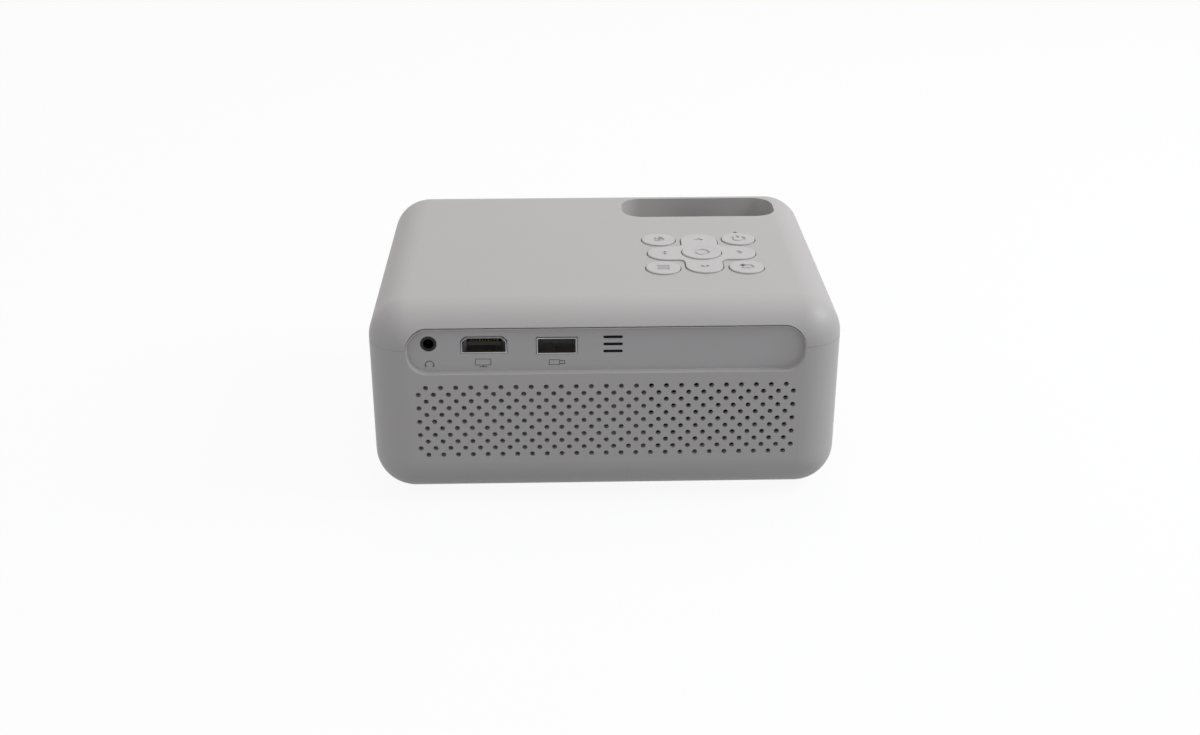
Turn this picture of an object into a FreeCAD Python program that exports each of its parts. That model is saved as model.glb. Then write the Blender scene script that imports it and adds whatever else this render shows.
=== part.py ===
"""LED projector with a built-in disc player, as a parametric FreeCAD document.

The row frame is in millimetres. X runs to the right as seen from behind the
projector, Y forward along the throw of the lens, and Z up. The origin lies on
the table under the middle of the body. The disc spindle stands on the Z axis.
"""

import FreeCAD, Part
import math
import os
import re
import Sketcher

# Driving dimensions, each an alias of the document's sheet. Millimetres and degrees.
SIZES = {
    # How far each cutter runs past a face, and struts into what they join
    "overshoot": 1.0,
    # Body shell
    "body_width": 161.0, "body_depth": 128.0, "body_height": 70.0, "wall": 2.2,
    "corner_radius": 14.2, "edge_radius": 13.7, "parting_height": 57.5,
    "foot_height": 1.5, "foot_seat": 0.6, "foot_radius": 6.0, "foot_inset": 23.0,
    "foot_clearance": 0.1,
    "case_screw_inset": 9.5, "case_screw_spacing": 56.0, "case_screw_radius": 1.25,
    "case_screw_head_radius": 2.6, "case_screw_head_height": 1.8, "case_screw_grip": 10.0,
    "case_boss_radius": 3.8, "case_boss_floor": 12.0, "screw_clearance": 0.15,
    "bush_radius": 4.5, "bush_bore_radius": 2.6, "bush_length": 4.3, "bush_boss_wall": 2.0,
    "side_slot_count": 9.0, "side_slot_width": 2.0, "side_slot_height": 24.0,
    "side_slot_pitch": 5.0, "side_slot_height_centre": 38.0,
    # Rear grille
    "hole_diameter": 1.73, "hole_pitch": 5.08, "row_pitch": 2.54, "hole_rows": 11.0,
    "long_row_holes": 26.0, "grille_height_centre": 31.3, "cloth_thickness": 0.35,
    "cloth_margin": 1.5, "cloth_end": 14.0,
    # Port panel
    "panel_width": 134.0, "panel_height": 16.2, "panel_centre_height": 56.8,
    "panel_corner_radius": 7.1, "panel_recess": 2.75, "panel_thickness": 1.8,
    "panel_gap": 0.1, "panel_flange": 2.2, "port_gap": 0.15,
    "mouth_step": 0.45, "mouth_step_depth": 0.5,
    "jack_x": -59.5, "jack_height": 59.1, "jack_radius": 2.6, "jack_bore_radius": 1.8,
    "jack_depth": 14.0, "jack_body_width": 7.0, "jack_body_height": 7.4,
    "hdmi_x": -41.0, "hdmi_height": 58.4, "hdmi_width": 15.2, "hdmi_tall": 5.7,
    "hdmi_chamfer": 1.6, "hdmi_depth": 11.0, "hdmi_tongue_width": 11.6, "socket_skin": 0.4,
    "usb_x": -16.6, "usb_height": 57.9, "usb_width": 13.4, "usb_tall": 5.8, "usb_depth": 14.0,
    "usb_tongue_width": 11.0, "tongue_thickness": 1.6,
    "slot_x": 2.3, "slot_height": 58.35, "slot_width": 6.6, "slot_tall": 1.05,
    "slot_pitch": 2.6, "slot_count": 3.0,
    "receiver_width": 6.0, "receiver_tall": 7.0, "receiver_depth": 3.6,
    # Keypad
    "keypad_x": 36.0, "keypad_y": -11.5, "button_spacing_x": 29.5, "button_spacing_y": 28.6,
    "button_radius": 6.1, "ok_radius": 7.1, "nav_span": 39.0, "nav_arm": 13.2,
    "nav_inner_fillet": 2.5, "key_gap": 0.3, "key_raise": 0.5, "ok_raise": 0.45, "key_flange": 0.6,
    "key_flange_thickness": 1.0, "key_play": 0.4, "key_stem_radius": 1.6,
    "key_stem_length": 1.2, "key_edge": 0.3, "key_travel": 0.5, "switch_gap": 0.3,
    "switch_height": 1.3, "switch_side": 4.0, "switch_cap_radius": 1.0,
    "switch_cap_height": 0.4, "keypad_board_width": 58.0, "keypad_board_depth": 54.0,
    "board_thickness": 1.2, "keypad_boss_radius": 2.0, "keypad_boss_inset": 3.0,
    "pivot_radius": 7.8, "pivot_width": 2.2, "pivot_thickness": 2.2, "pivot_lift": 0.4,
    "light_x": 50.5, "light_y": 10.7, "light_radius": 0.7,
    # Middle frame that carries everything above the disc drive
    "frame_height": 20.8, "frame_thickness": 1.6, "frame_margin": 0.5,
    "frame_corner_radius": 11.6, "frame_post_radius": 2.2,
    # Focus well in the top, focus ring and projection lens
    "well_x": 38.8, "well_y": 39.85, "well_width": 59.4, "well_length": 21.7,
    "well_depth": 11.2, "well_corner_radius": 8.0, "well_wall": 1.6, "ring_slot_gap": 0.8,
    "lens_height": 42.6, "ring_radius": 19.8, "ring_width": 12.0, "ring_y": 39.85,
    "ring_grip_count": 60.0, "ring_grip_depth": 0.7, "ring_grip_width": 1.0,
    "mount_radius": 17.0, "mount_wall": 1.4, "mount_front": 56.0, "mount_flange": 38.0,
    "mount_flange_thickness": 2.0, "mount_collar": 1.2, "mount_collar_width": 1.0,
    "running_gap": 0.05, "barrel_wall": 2.0, "barrel_length": 30.0, "barrel_front": 58.5,
    "lens_thickness": 6.0, "lens_count": 3.0,
    "lens_inset": 1.5, "lens_bulge": 2.0, "bezel_radius": 18.6, "bezel_bore": 16.4, "bezel_depth": 3.4,
    "bezel_proud": 0.6,
    # Light engine
    "engine_y": -6.0, "engine_width": 60.0, "engine_tall": 39.0, "engine_wall": 1.6,
    "engine_side_gap": 27.3, "engine_right": 61.5, "engine_window_radius": 15.0,
    "plate_width": 56.0, "plate_tall": 34.0, "plate_thickness": 2.0, "plate_gap": 6.0,
    "panel_screen_x": -8.0, "groove_gap": 0.1, "led_side": 20.0, "led_thickness": 2.0,
    "emitter_radius": 6.0, "emitter_thickness": 1.0, "condenser_radius": 13.0,
    "condenser_gap": 7.0, "condenser_thickness": 8.0, "condenser_rim": 2.5, "condenser_rib": 2.0,
    "funnel_wall": 0.8, "funnel_length": 16.0,
    "mirror_length": 50.0, "mirror_tall": 35.4, "mirror_thickness": 2.0,
    "sink_depth": 13.0, "sink_base": 4.0, "fin_count": 13.0, "fin_thickness": 1.2,
    # Fan, speakers and circuit boards
    "fan_side": 40.0, "fan_depth": 10.0, "fan_x": 38.0, "fan_y": -56.0, "fan_bore": 18.8,
    "fan_hub_radius": 11.0, "fan_blade_gap": 0.6, "fan_blade_count": 7.0,
    "fan_blade_thickness": 1.0, "fan_blade_pitch": 38.0, "fan_blade_chord": 8.4,
    "fan_axle_radius": 1.5, "fan_strut_width": 3.0, "fan_strut_depth": 1.6,
    "fan_rib_thickness": 2.0, "fan_rib_height": 14.0, "fan_corner_radius": 3.0,
    "speaker_side": 23.6, "speaker_spacing": 36.0, "speaker_x": -26.0,
    "speaker_frame_depth": 5.0, "cone_radius": 9.6, "cone_gap": 0.5, "cone_depth": 2.4,
    "coil_radius": 4.0, "coil_wall": 0.6, "coil_length": 3.5, "magnet_radius": 8.5,
    "magnet_depth": 8.0, "cone_travel": 0.4,
    "io_board_height": 55.0, "io_post_x": -28.4, "io_board_side_gap": 11.8, "io_board_right": 15.0,
    "io_board_front": -40.0, "main_board_side_gap": 14.3, "main_board_right": 4.0,
    "main_board_depth": 54.0, "main_board_lift": 1.6, "chip_side": 15.0, "chip_tall": 1.6,
    "inlet_y": -42.0, "inlet_width": 9.0, "inlet_tall": 11.0, "inlet_depth": 14.0,
    "inlet_bore": 3.0, "inlet_pin": 1.0, "inlet_hole_gap": 0.6,
    "small_screw_radius": 1.0, "small_screw_head": 1.9, "small_screw_head_height": 1.2,
    "small_screw_grip": 4.0,
    # Disc drive
    "drive_side_gap": 15.5, "drive_height": 14.4, "drive_base": 6.0, "sheet": 0.8,
    "drive_rear_gap": 0.7, "drive_front_gap": 3.8, "tray_side_gap": 3.5, "tray_rear_gap": 4.1,
    "tray_bezel_depth": 2.8, "tray_bottom": 9.6, "tray_top": 18.0, "tray_floor": 13.2,
    "tray_wall": 2.0, "disc_radius": 60.0, "disc_seat_gap": 0.6, "disc_seat_height": 15.0,
    "bezel_bottom": 9.0, "bezel_top": 18.6, "bezel_gap": 0.35,
    "rail_width": 2.1, "rail_bottom": 10.4, "rail_tall": 4.0, "rail_rear_gap": 5.1,
    "rail_front_gap": 8.0, "slide_gap": 0.3, "eject_x": 46.0, "eject_width": 9.0,
    "eject_tall": 2.4, "eject_height": 16.6, "eject_depth": 1.7, "eject_raise": 0.5,
    "eject_gap": 0.3, "eject_travel": 0.8,
    "sled_angle": 45.0, "sled_start": 24.5, "sled_length": 18.0, "sled_width": 20.0,
    "sled_tall": 3.0, "rod_radius": 1.0, "rod_spread": 16.0, "rod_height": 12.5,
    "feed_screw_offset": 12.9, "feed_screw_radius": 0.9, "feed_motor_radius": 1.75,
    "feed_motor_length": 8.4, "feed_motor_end": -7.8, "pickup_lens_radius": 1.9,
    "pickup_lens_height": 0.6, "window_width": 33.0, "window_back": -17.5, "window_front": 69.2,
    "window_gap": 0.3, "traverse_wall": 0.8, "traverse_bottom": 9.9, "traverse_top": 14.2,
    "traverse_floor": 0.8, "crossbar_start": 12.0, "crossbar_width": 2.0,
    "motor_radius": 11.5, "motor_height": 3.2, "turntable_gap": 0.4, "turntable_radius": 13.0,
    "turntable_thickness": 1.2, "hub_radius": 7.3, "hub_height": 1.9, "spindle_radius": 1.0,
    "spindle_depth": 2.6, "drive_board_width": 46.0, "drive_board_depth": 30.0,
    "drive_board_lift": 0.5,
}

# Places that several pieces share, worked out from the driving dimensions.
PLACES = {
    "body_top": "foot_height + body_height",
    "inner_top": "body_top - wall",
    "rear_face": "-body_depth / 2",
    "rear_inner": "rear_face + wall",
    "front_face": "body_depth / 2",
    "front_inner": "front_face - wall",
    "side_inner": "body_width / 2 - wall",
    "drive_width": "body_width - 2 * drive_side_gap",
    "drive_back": "rear_inner + drive_rear_gap",
    "drive_front": "front_inner - drive_front_gap",
    "tray_width": "drive_width - 2 * tray_side_gap",
    "tray_back": "drive_back + tray_rear_gap",
    "tray_front": "front_face - tray_bezel_depth",
    "bezel_width": "drive_width",
    "rail_back": "drive_back + rail_rear_gap",
    "rail_front": "drive_front - rail_front_gap",
    "engine_left": "engine_side_gap - side_inner",
    "condenser_x": "engine_left + condenser_gap",
    "io_board_left": "io_board_side_gap - side_inner",
    "main_board_left": "main_board_side_gap - side_inner",
    "panel_face": "rear_face + panel_recess",
    "panel_back": "panel_face + panel_thickness",
    "frame_top": "frame_height + frame_thickness",
    "grille_length": "(long_row_holes - 1) * hole_pitch / 2",
    "grille_rise": "(hole_rows - 1) * row_pitch / 2",
    "well_floor": "body_top - well_depth",
    "key_top": "body_top + key_raise",
    "key_flange_top": "inner_top - key_play",
    "key_flange_bottom": "key_flange_top - key_flange_thickness",
    "key_foot": "key_flange_bottom - key_stem_length",
    "switch_top": "key_foot - key_travel - switch_gap",
    "keypad_board_top": "switch_top - switch_cap_height - switch_height",
    "keypad_board_bottom": "keypad_board_top - board_thickness",
    "engine_bottom": "frame_top",
    "engine_top": "engine_bottom + engine_tall",
    "engine_back": "engine_y - engine_width / 2",
    "engine_front": "engine_y + engine_width / 2",
    "plate_left": "panel_screen_x - plate_gap - plate_thickness",
    "main_board_bottom": "engine_top + main_board_lift",
    "io_board_bottom": "io_board_height - board_thickness",
    "barrel_radius": "mount_radius - mount_wall - running_gap",
    "fan_height": "frame_top + fan_side / 2",
    "speaker_height": "frame_top + speaker_side / 2",
    "speaker_front": "rear_inner + cloth_thickness",
    "speaker_back": "speaker_front + speaker_frame_depth",
    "inlet_height": "frame_top + inlet_tall / 2",
    "drive_floor": "drive_base + sheet",
    "drive_lid_bottom": "drive_base + drive_height - sheet",
    "traverse_back": "window_back + window_gap",
    "traverse_front": "window_front - window_gap",
}

DOC = FreeCAD.newDocument("Projector")
SHEET = DOC.addObject("Spreadsheet::Sheet", "Sizes")
AXES = {
    "X": FreeCAD.Rotation(FreeCAD.Vector(0, 1, 0), 90),
    "Y": FreeCAD.Rotation(FreeCAD.Vector(1, 0, 0), -90),
    "Z": FreeCAD.Rotation(),
}
SUBPARTS = []


# ---------------------------------------------------------------- sheet and expressions

def fill_sheet():
    """Put each driving dimension in a cell of its own, under its alias."""
    for row, (alias, size) in enumerate(SIZES.items(), start=1):
        SHEET.set(f"A{row}", str(size))
        SHEET.setAlias(f"A{row}", alias)
    DOC.recompute()


def resolve(text):
    """Write the shared places in text in terms of the sheet's cells."""
    def replace(match):
        word = match.group()
        if word in PLACES:
            return "(" + resolve(PLACES[word]) + ")"
        return "Sizes." + word if word in SIZES else word
    return re.sub(r"[a-z_]+", replace, str(text))


def number(text):
    """The value that an expression has now."""
    return float(SHEET.evalExpression(resolve(text)))


def bind(item, **expressions):
    """Tie properties of item to expressions; a double underscore stands for a dot."""
    for name, text in expressions.items():
        item.setExpression(name.replace("__", "."), resolve(text))
    return item


def place(item, x, y, z, rotation=AXES["Z"]):
    """Turn item, then tie its place to three expressions."""
    item.Placement = FreeCAD.Placement(FreeCAD.Vector(), rotation)
    return bind(item, Placement__Base__x=x, Placement__Base__y=y, Placement__Base__z=z)


def keep(label, item):
    """Register item as a sub-part under its own label."""
    item.Label = label
    SUBPARTS.append(item)
    return item


# ---------------------------------------------------------------- solids and booleans

def box(name, x, y, z, width, depth, height):
    """A box centred on x and y that stands on z."""
    item = DOC.addObject("Part::Box", name)
    bind(item, Length=width, Width=depth, Height=height)
    return place(item, f"({x}) - ({width}) / 2", f"({y}) - ({depth}) / 2", z)


def cylinder(name, x, y, z, radius, length, axis="Z"):
    """A cylinder that starts at a point and runs along one axis."""
    item = DOC.addObject("Part::Cylinder", name)
    bind(item, Radius=radius, Height=length)
    return place(item, x, y, z, AXES[axis])


def fuse(name, *items):
    """The union of several solids."""
    item = DOC.addObject("Part::MultiFuse", name)
    item.Shapes = list(items)
    return item


def gather(name, items):
    """Several separate solids in one object."""
    item = DOC.addObject("Part::Compound", name)
    item.Links = list(items)
    return item


def cut(name, base, *tools):
    """The base less one or more tools."""
    item = DOC.addObject("Part::Cut", name)
    item.Base = base
    item.Tool = tools[0] if len(tools) == 1 else fuse(name + "_tools", *tools)
    return item


def common(name, first, second):
    """What two solids share."""
    item = DOC.addObject("Part::MultiCommon", name)
    item.Shapes = [first, second]
    return item


def tube(name, x, y, z, outer, inner, length, axis="Z"):
    """A round tube between an outer and an inner radius."""
    outside = cylinder(name + "_outside", x, y, z, outer, length, axis)
    bore = cylinder(name + "_bore", x, y, z, inner, length, axis)
    return cut(name, outside, bore)


# ---------------------------------------------------------------- sketched bodies

def new_sketch(body, name, plane="XY_Plane", lift="0"):
    """A sketch on one of the body's own planes, lifted along the plane's normal."""
    sketch = body.newObject("Sketcher::SketchObject", name)
    support = next(item for item in body.Origin.OriginFeatures if item.Role == plane)
    sketch.AttachmentSupport = (support, [""])
    sketch.MapMode = "FlatFace"
    bind(sketch, AttachmentOffset__Base__z=lift)
    return sketch


def add_sized(sketch, kind, *arguments, size):
    """Add a dimension to sketch and tie it to an expression."""
    index = sketch.addConstraint(Sketcher.Constraint(kind, *arguments, number(size)))
    sketch.setExpression(f"Constraints[{index}]", resolve(size))


def draw_circle(sketch, radius):
    """A circle round the sketch's origin."""
    circle = Part.Circle(FreeCAD.Vector(), FreeCAD.Vector(0, 0, 1), number(radius))
    index = sketch.addGeometry(circle, False)
    sketch.addConstraint(Sketcher.Constraint("Coincident", index, 3, -1, 1))
    add_sized(sketch, "Radius", index, size=radius)


def draw_outline(sketch, corners):
    """A closed outline of straight lines through corners, each an (x, y) of expressions."""
    points = [FreeCAD.Vector(number(x), number(y), 0) for x, y in corners]
    for index, start in enumerate(points):
        end = points[(index + 1) % len(points)]
        sketch.addGeometry(Part.LineSegment(start, end), False)
    for index, (x, y) in enumerate(corners):
        following = (index + 1) % len(corners)
        sketch.addConstraint(Sketcher.Constraint("Coincident", index, 2, following, 1))
        add_sized(sketch, "DistanceX", -1, 1, index, 1, size=x)
        add_sized(sketch, "DistanceY", -1, 1, index, 1, size=y)


def draw_rounded_rectangle(sketch, width, depth, radius):
    """A rounded rectangle centred on the sketch's origin."""
    half_x = number(width) / 2
    half_y = number(depth) / 2
    round_size = number(radius)
    centres = [(half_x - round_size, half_y - round_size), (round_size - half_x, half_y - round_size),
               (round_size - half_x, round_size - half_y), (half_x - round_size, round_size - half_y)]
    for quarter, (x, y) in enumerate(centres):
        circle = Part.Circle(FreeCAD.Vector(x, y, 0), FreeCAD.Vector(0, 0, 1), round_size)
        start = quarter * math.pi / 2
        sketch.addGeometry(Part.ArcOfCircle(circle, start, start + math.pi / 2), False)
    for quarter in range(4):
        following = (quarter + 1) % 4
        start = sketch.getPoint(quarter, 2)
        end = sketch.getPoint(following, 1)
        line = sketch.addGeometry(Part.LineSegment(start, end), False)
        sketch.addConstraint(Sketcher.Constraint("Tangent", quarter, 2, line, 1))
        sketch.addConstraint(Sketcher.Constraint("Tangent", line, 2, following, 1))
        sketch.addConstraint(Sketcher.Constraint("Vertical" if quarter % 2 else "Horizontal", line))
    for quarter in (1, 2, 3):
        sketch.addConstraint(Sketcher.Constraint("Equal", 0, quarter))
    sketch.addConstraint(Sketcher.Constraint("Symmetric", 0, 3, 2, 3, -1, 1))
    add_sized(sketch, "Radius", 0, size=radius)
    add_sized(sketch, "DistanceX", 1, 3, 0, 3, size=f"({width}) - 2 * ({radius})")
    add_sized(sketch, "DistanceY", 3, 3, 0, 3, size=f"({depth}) - 2 * ({radius})")


def pad(body, sketch, length):
    """Pad a sketch along its plane's normal."""
    feature = body.newObject("PartDesign::Pad", sketch.Name + "_pad")
    feature.Profile = sketch
    bind(feature, Length=length)
    return feature


def pocket(body, sketch, length):
    """Cut a sketch into the body, along its plane's normal."""
    feature = body.newObject("PartDesign::Pocket", sketch.Name + "_pocket")
    feature.Profile = sketch
    feature.Reversed = True
    bind(feature, Length=length)
    return feature


def round_edges(body, radius, chosen):
    """Fillet the edges of the body's last feature that chosen accepts."""
    DOC.recompute()
    base = body.Tip
    names = [f"Edge{index}" for index, edge in enumerate(base.Shape.Edges, start=1) if chosen(edge)]
    feature = body.newObject("PartDesign::Fillet", body.Name + "_fillet")
    feature.Base = (base, names)
    bind(feature, Radius=radius)
    body.Tip = feature
    return feature


def level_edge(level):
    """Accept the edges that lie flat at one height of the body's own frame."""
    def chosen(edge):
        bounds = edge.BoundBox
        return abs(bounds.ZMin - level) < 1e-4 and abs(bounds.ZMax - level) < 1e-4
    return chosen


def rounded_plate(name, x, y, z, width, depth, height, radius, rotation=AXES["Z"]):
    """A plate with a rounded rectangular outline, centred on x and y."""
    body = DOC.addObject("PartDesign::Body", name)
    sketch = new_sketch(body, name + "_outline")
    draw_rounded_rectangle(sketch, width, depth, radius)
    pad(body, sketch, height)
    return place(body, x, y, z, rotation)


def polar_pattern(body, original, count, axis="Z_Axis"):
    """Repeat a feature of the body all round one of its own axes."""
    pattern = body.newObject("PartDesign::PolarPattern", original.Name + "_pattern")
    pattern.Originals = [original]
    support = next(item for item in body.Origin.OriginFeatures if item.Role == axis)
    pattern.Axis = (support, [""])
    pattern.Angle = 360
    bind(pattern, Occurrences=count)
    body.Tip = pattern
    return pattern


# ---------------------------------------------------------------- shells

def rounded_block(name, inset):
    """The body's rounded block, drawn in by inset on every side."""
    width = f"body_width - 2 * ({inset})"
    depth = f"body_depth - 2 * ({inset})"
    height = f"body_height - 2 * ({inset})"
    block = rounded_plate(name, "0", "0", f"foot_height + {inset}", width, depth, height,
                          f"corner_radius - ({inset})")
    round_edges(block, f"edge_radius - ({inset})", level_edge(number(height)))
    round_edges(block, f"edge_radius - ({inset})", level_edge(0))
    return block


def slab(name, low, high):
    """A box wider than the body between two heights."""
    return box(name, "0", "0", low, "body_width + 2 * wall", "body_depth + 2 * wall",
               f"({high}) - ({low})")


def case_screw_places():
    """The four corners where screws join the two shells."""
    for side in (-1, 1):
        for y in ("-case_screw_spacing / 2", "case_screw_spacing / 2"):
            yield f"{side} * (body_width / 2 - case_screw_inset)", y


def foot_places():
    """The four places of the rubber feet."""
    for side in (-1, 1):
        for end in (-1, 1):
            yield f"{side} * (body_width / 2 - foot_inset)", f"{end} * (body_depth / 2 - foot_inset)"


def columns(name, places, z, radius, length):
    """One upright cylinder at each place."""
    return [cylinder(f"{name}_{index}", x, y, z, radius, length)
            for index, (x, y) in enumerate(places)]


def hole_field():
    """The staggered field of round holes in the rear wall, long and short rows in turn."""
    radius = number("hole_diameter") / 2
    depth = number("wall + 2 * overshoot")
    holes = []
    for row in range(int(number("hole_rows"))):
        count = int(number("long_row_holes")) - (row + 1) % 2
        height = number("grille_height_centre + grille_rise") - row * number("row_pitch")
        for column in range(count):
            x = (column - (count - 1) / 2) * number("hole_pitch")
            start = FreeCAD.Vector(x, number("rear_face - overshoot"), height)
            holes.append(Part.makeCylinder(radius, depth, start, FreeCAD.Vector(0, 1, 0)))
    field = DOC.addObject("Part::Feature", "hole_field")
    field.Shape = Part.makeCompound(holes)
    return field


def side_slots():
    """Upright air slots through both side walls."""
    slots = []
    for index in range(int(number("side_slot_count"))):
        y = f"({index} - (side_slot_count - 1) / 2) * side_slot_pitch"
        slots.append(box(f"side_slot_{index}", "0", y, "side_slot_height_centre - side_slot_height / 2",
                         "body_width + 2 * wall", "side_slot_width", "side_slot_height"))
    middle = box("side_slot_middle", "0", "0", "foot_height", "body_width - 4 * wall",
                 "body_depth", "body_height")
    return cut("side_slots", gather("side_slot_row", slots), middle)


def panel_window():
    """The rounded window in the rear wall that the port panel fills."""
    return rounded_plate("panel_window", "0", "rear_face - overshoot", "panel_centre_height",
                         "panel_width", "panel_height",
                         "panel_recess + panel_thickness + overshoot", "panel_corner_radius",
                         AXES["Y"])


def tray_opening():
    """The slot in the front wall that the tray and its bezel pass through."""
    return box("tray_opening", "0", "front_face", "bezel_bottom - bezel_gap",
               "bezel_width + 2 * bezel_gap", "edge_radius * 2", "bezel_top - bezel_bottom + 2 * bezel_gap")


def inlet_opening():
    """The round hole in the right wall for the power plug."""
    return cylinder("inlet_opening", "side_inner - overshoot", "inlet_y", "inlet_height",
                    "inlet_bore + inlet_hole_gap", "wall + 2 * overshoot", "X")


def lens_opening():
    """The round hole in the front wall round the lens."""
    return cylinder("lens_opening", "well_x", "front_inner - 2 * wall", "lens_height", "bezel_radius",
                    "4 * wall", "Y")


def bottom_case(shell, window):
    """The lower shell with its screw posts, tripod boss, grille and openings."""
    lower = common("case_lower", shell, slab("lower_half", "0", "parting_height"))
    inner = common("case_inside", rounded_block("post_limit", "wall / 2"),
                   fuse("case_posts_raw",
                        *columns("case_post", case_screw_places(), "foot_height", "case_boss_radius",
                                 "frame_height - foot_height"),
                        cylinder("bush_boss", "0", "0", "foot_height", "bush_radius + bush_boss_wall",
                                 "bush_length")))
    walls = fuse("case_walls", lower, inner)
    tools = columns("case_counterbore", case_screw_places(), "0",
                    "case_screw_head_radius + 2 * screw_clearance", "case_boss_floor")
    tools += columns("case_screw_hole", case_screw_places(), "0",
                     "case_screw_radius + screw_clearance", "frame_height + overshoot")
    tools += columns("foot_pocket", foot_places(), "0", "foot_radius + foot_clearance",
                     "foot_height + foot_seat")
    tools.append(cylinder("bush_hole", "0", "0", "0", "bush_radius",
                          "foot_height + bush_length + overshoot"))
    tools += [side_slots(), tray_opening(), inlet_opening(), lens_opening(), window]
    case = cut("case_open", walls, *tools)
    return keep("bottom_case", cut("bottom_case", case, hole_field()))


def well_outline(name, z, height, grow):
    """The rounded outline of the focus well, grown by a wall's thickness."""
    return rounded_plate(name, "well_x", "well_y", z, f"well_width + 2 * ({grow})",
                         f"well_length + 2 * ({grow})", height, f"well_corner_radius + ({grow})")


def nav_plate(name, z, height, grow):
    """A cross of two round-ended arms with filleted inner corners."""
    body = DOC.addObject("PartDesign::Body", name)
    arm = f"nav_arm + 2 * ({grow})"
    span = f"nav_span + 2 * ({grow})"
    for side, width, depth in (("across", span, arm), ("along", arm, span)):
        sketch = new_sketch(body, f"{name}_{side}")
        draw_rounded_rectangle(sketch, width, depth, f"({arm}) / 2 - 0.01")
        pad(body, sketch, height)
    round_edges(body, f"nav_inner_fillet - ({grow})", inner_corner(number(arm) / 2))
    return place(body, "keypad_x", "keypad_y", z)


def inner_corner(half_arm):
    """Accept the upright edges where the two arms of the cross meet."""
    def chosen(edge):
        centre = edge.CenterOfMass
        return abs(abs(centre.x) - half_arm) < 1e-3 and abs(abs(centre.y) - half_arm) < 1e-3
    return chosen


def button_places():
    """The four round buttons at the corners of the keypad, by name."""
    left = "keypad_x - button_spacing_x / 2"
    right = "keypad_x + button_spacing_x / 2"
    far = "keypad_y + button_spacing_y / 2"
    near = "keypad_y - button_spacing_y / 2"
    return {"source_button": (left, far), "power_button": (right, far),
            "menu_button": (left, near), "back_button": (right, near)}


def key_holes():
    """The holes in the top for the keys and the status light."""
    through = "wall + 2 * overshoot"
    holes = [cylinder(f"{name}_hole", x, y, "inner_top - overshoot", "button_radius + key_gap", through)
             for name, (x, y) in button_places().items()]
    holes.append(nav_plate("nav_hole", "inner_top - overshoot", through, "key_gap"))
    holes.append(cylinder("light_hole", "light_x", "light_y", "inner_top - overshoot", "light_radius",
                          through))
    return holes


def keypad_corners():
    """The four screw places of the keypad board."""
    for x in ("-1", "1"):
        for y in ("-1", "1"):
            yield (f"keypad_x + {x} * (keypad_board_width / 2 - keypad_boss_inset)",
                   f"keypad_y + {y} * (keypad_board_depth / 2 - keypad_boss_inset)")


def top_cover(shell, window):
    """The upper shell with the focus well, key holes, screw posts and keypad bosses."""
    upper = common("cover_upper", shell, slab("upper_half", "parting_height", "body_top + overshoot"))
    well = well_outline("well_outside", "well_floor - well_wall", "well_depth + well_wall - wall / 2",
                        "well_wall")
    posts = columns("cover_post", case_screw_places(), "frame_top", "case_boss_radius",
                    "inner_top - frame_top + wall / 2")
    bosses = columns("keypad_boss", keypad_corners(), "keypad_board_top", "keypad_boss_radius",
                     "inner_top - keypad_board_top + wall / 2")
    inside = common("cover_inside", rounded_block("cover_post_limit", "wall / 2"),
                    fuse("cover_inside_raw", well, *posts, *bosses))
    walls = fuse("cover_walls", upper, inside)
    slot = box("ring_slot", "well_x", "ring_y", "lens_height", "2 * ring_radius",
               "ring_width + 2 * (mount_collar_width + 2 * key_gap)", "well_depth + lens_height")
    ring_room = common("ring_room", slot,
                       cylinder("ring_space", "well_x", "ring_y - ring_width", "lens_height",
                                "ring_radius + ring_slot_gap", "2 * ring_width", "Y"))
    tools = key_holes()
    tools += columns("cover_screw_hole", case_screw_places(), "frame_top - overshoot",
                     "case_screw_radius", "case_screw_grip + 2 * overshoot")
    tools += columns("keypad_screw_hole", keypad_corners(), "keypad_board_top - overshoot",
                     "small_screw_radius", "small_screw_grip")
    tools.append(well_outline("well_inside", "well_floor", "well_depth + overshoot", "0"))
    tube_room = cylinder("tube_room", "well_x", "engine_front", "lens_height",
                         "mount_radius + key_gap", "mount_front - engine_front", "Y")
    tools += [ring_room, tube_room, lens_opening(), window]
    return keep("top_cover", cut("top_cover", walls, *tools))


def socket_mouths(name, grow, end):
    """Cutters for both socket mouths, from in front of the panel to one depth."""
    length = f"{end} - panel_face + overshoot"
    return [hdmi_prism(f"hdmi_{name}", "panel_face - overshoot", length, grow),
            box(f"usb_{name}", "usb_x", f"panel_face - overshoot + ({length}) / 2",
                f"usb_height - usb_tall / 2 - ({grow})", f"usb_width + 2 * ({grow})", length,
                f"usb_tall + 2 * ({grow})")]


def receiver_slots():
    """Cutters for the three round-ended slots that the remote receiver looks through."""
    start = "panel_face - overshoot"
    length = "panel_thickness + 2 * overshoot"
    reach = "(slot_width - slot_tall) / 2"
    slots = []
    for index in range(int(number("slot_count"))):
        height = f"slot_height + ({index} - (slot_count - 1) / 2) * slot_pitch"
        slots.append(box(f"receiver_slot_{index}", "slot_x", f"{start} + ({length}) / 2",
                         f"{height} - slot_tall / 2", "slot_width - slot_tall", length, "slot_tall"))
        slots += [cylinder(f"receiver_slot_end_{index}_{end}", f"slot_x {side} {reach}", start, height,
                           "slot_tall / 2", length, "Y") for end, side in enumerate("-+")]
    return slots


def port_mouths():
    """Cutters for everything that opens through the panel, with a step round both sockets."""
    jack = cylinder("jack_mouth", "jack_x", "panel_face - overshoot", "jack_height",
                    "jack_radius + port_gap", "panel_thickness + 2 * overshoot", "Y")
    return ([jack] + socket_mouths("mouth", "port_gap", "panel_back + overshoot")
            + socket_mouths("step", "port_gap + mouth_step", "panel_face + mouth_step_depth")
            + receiver_slots())


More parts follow.
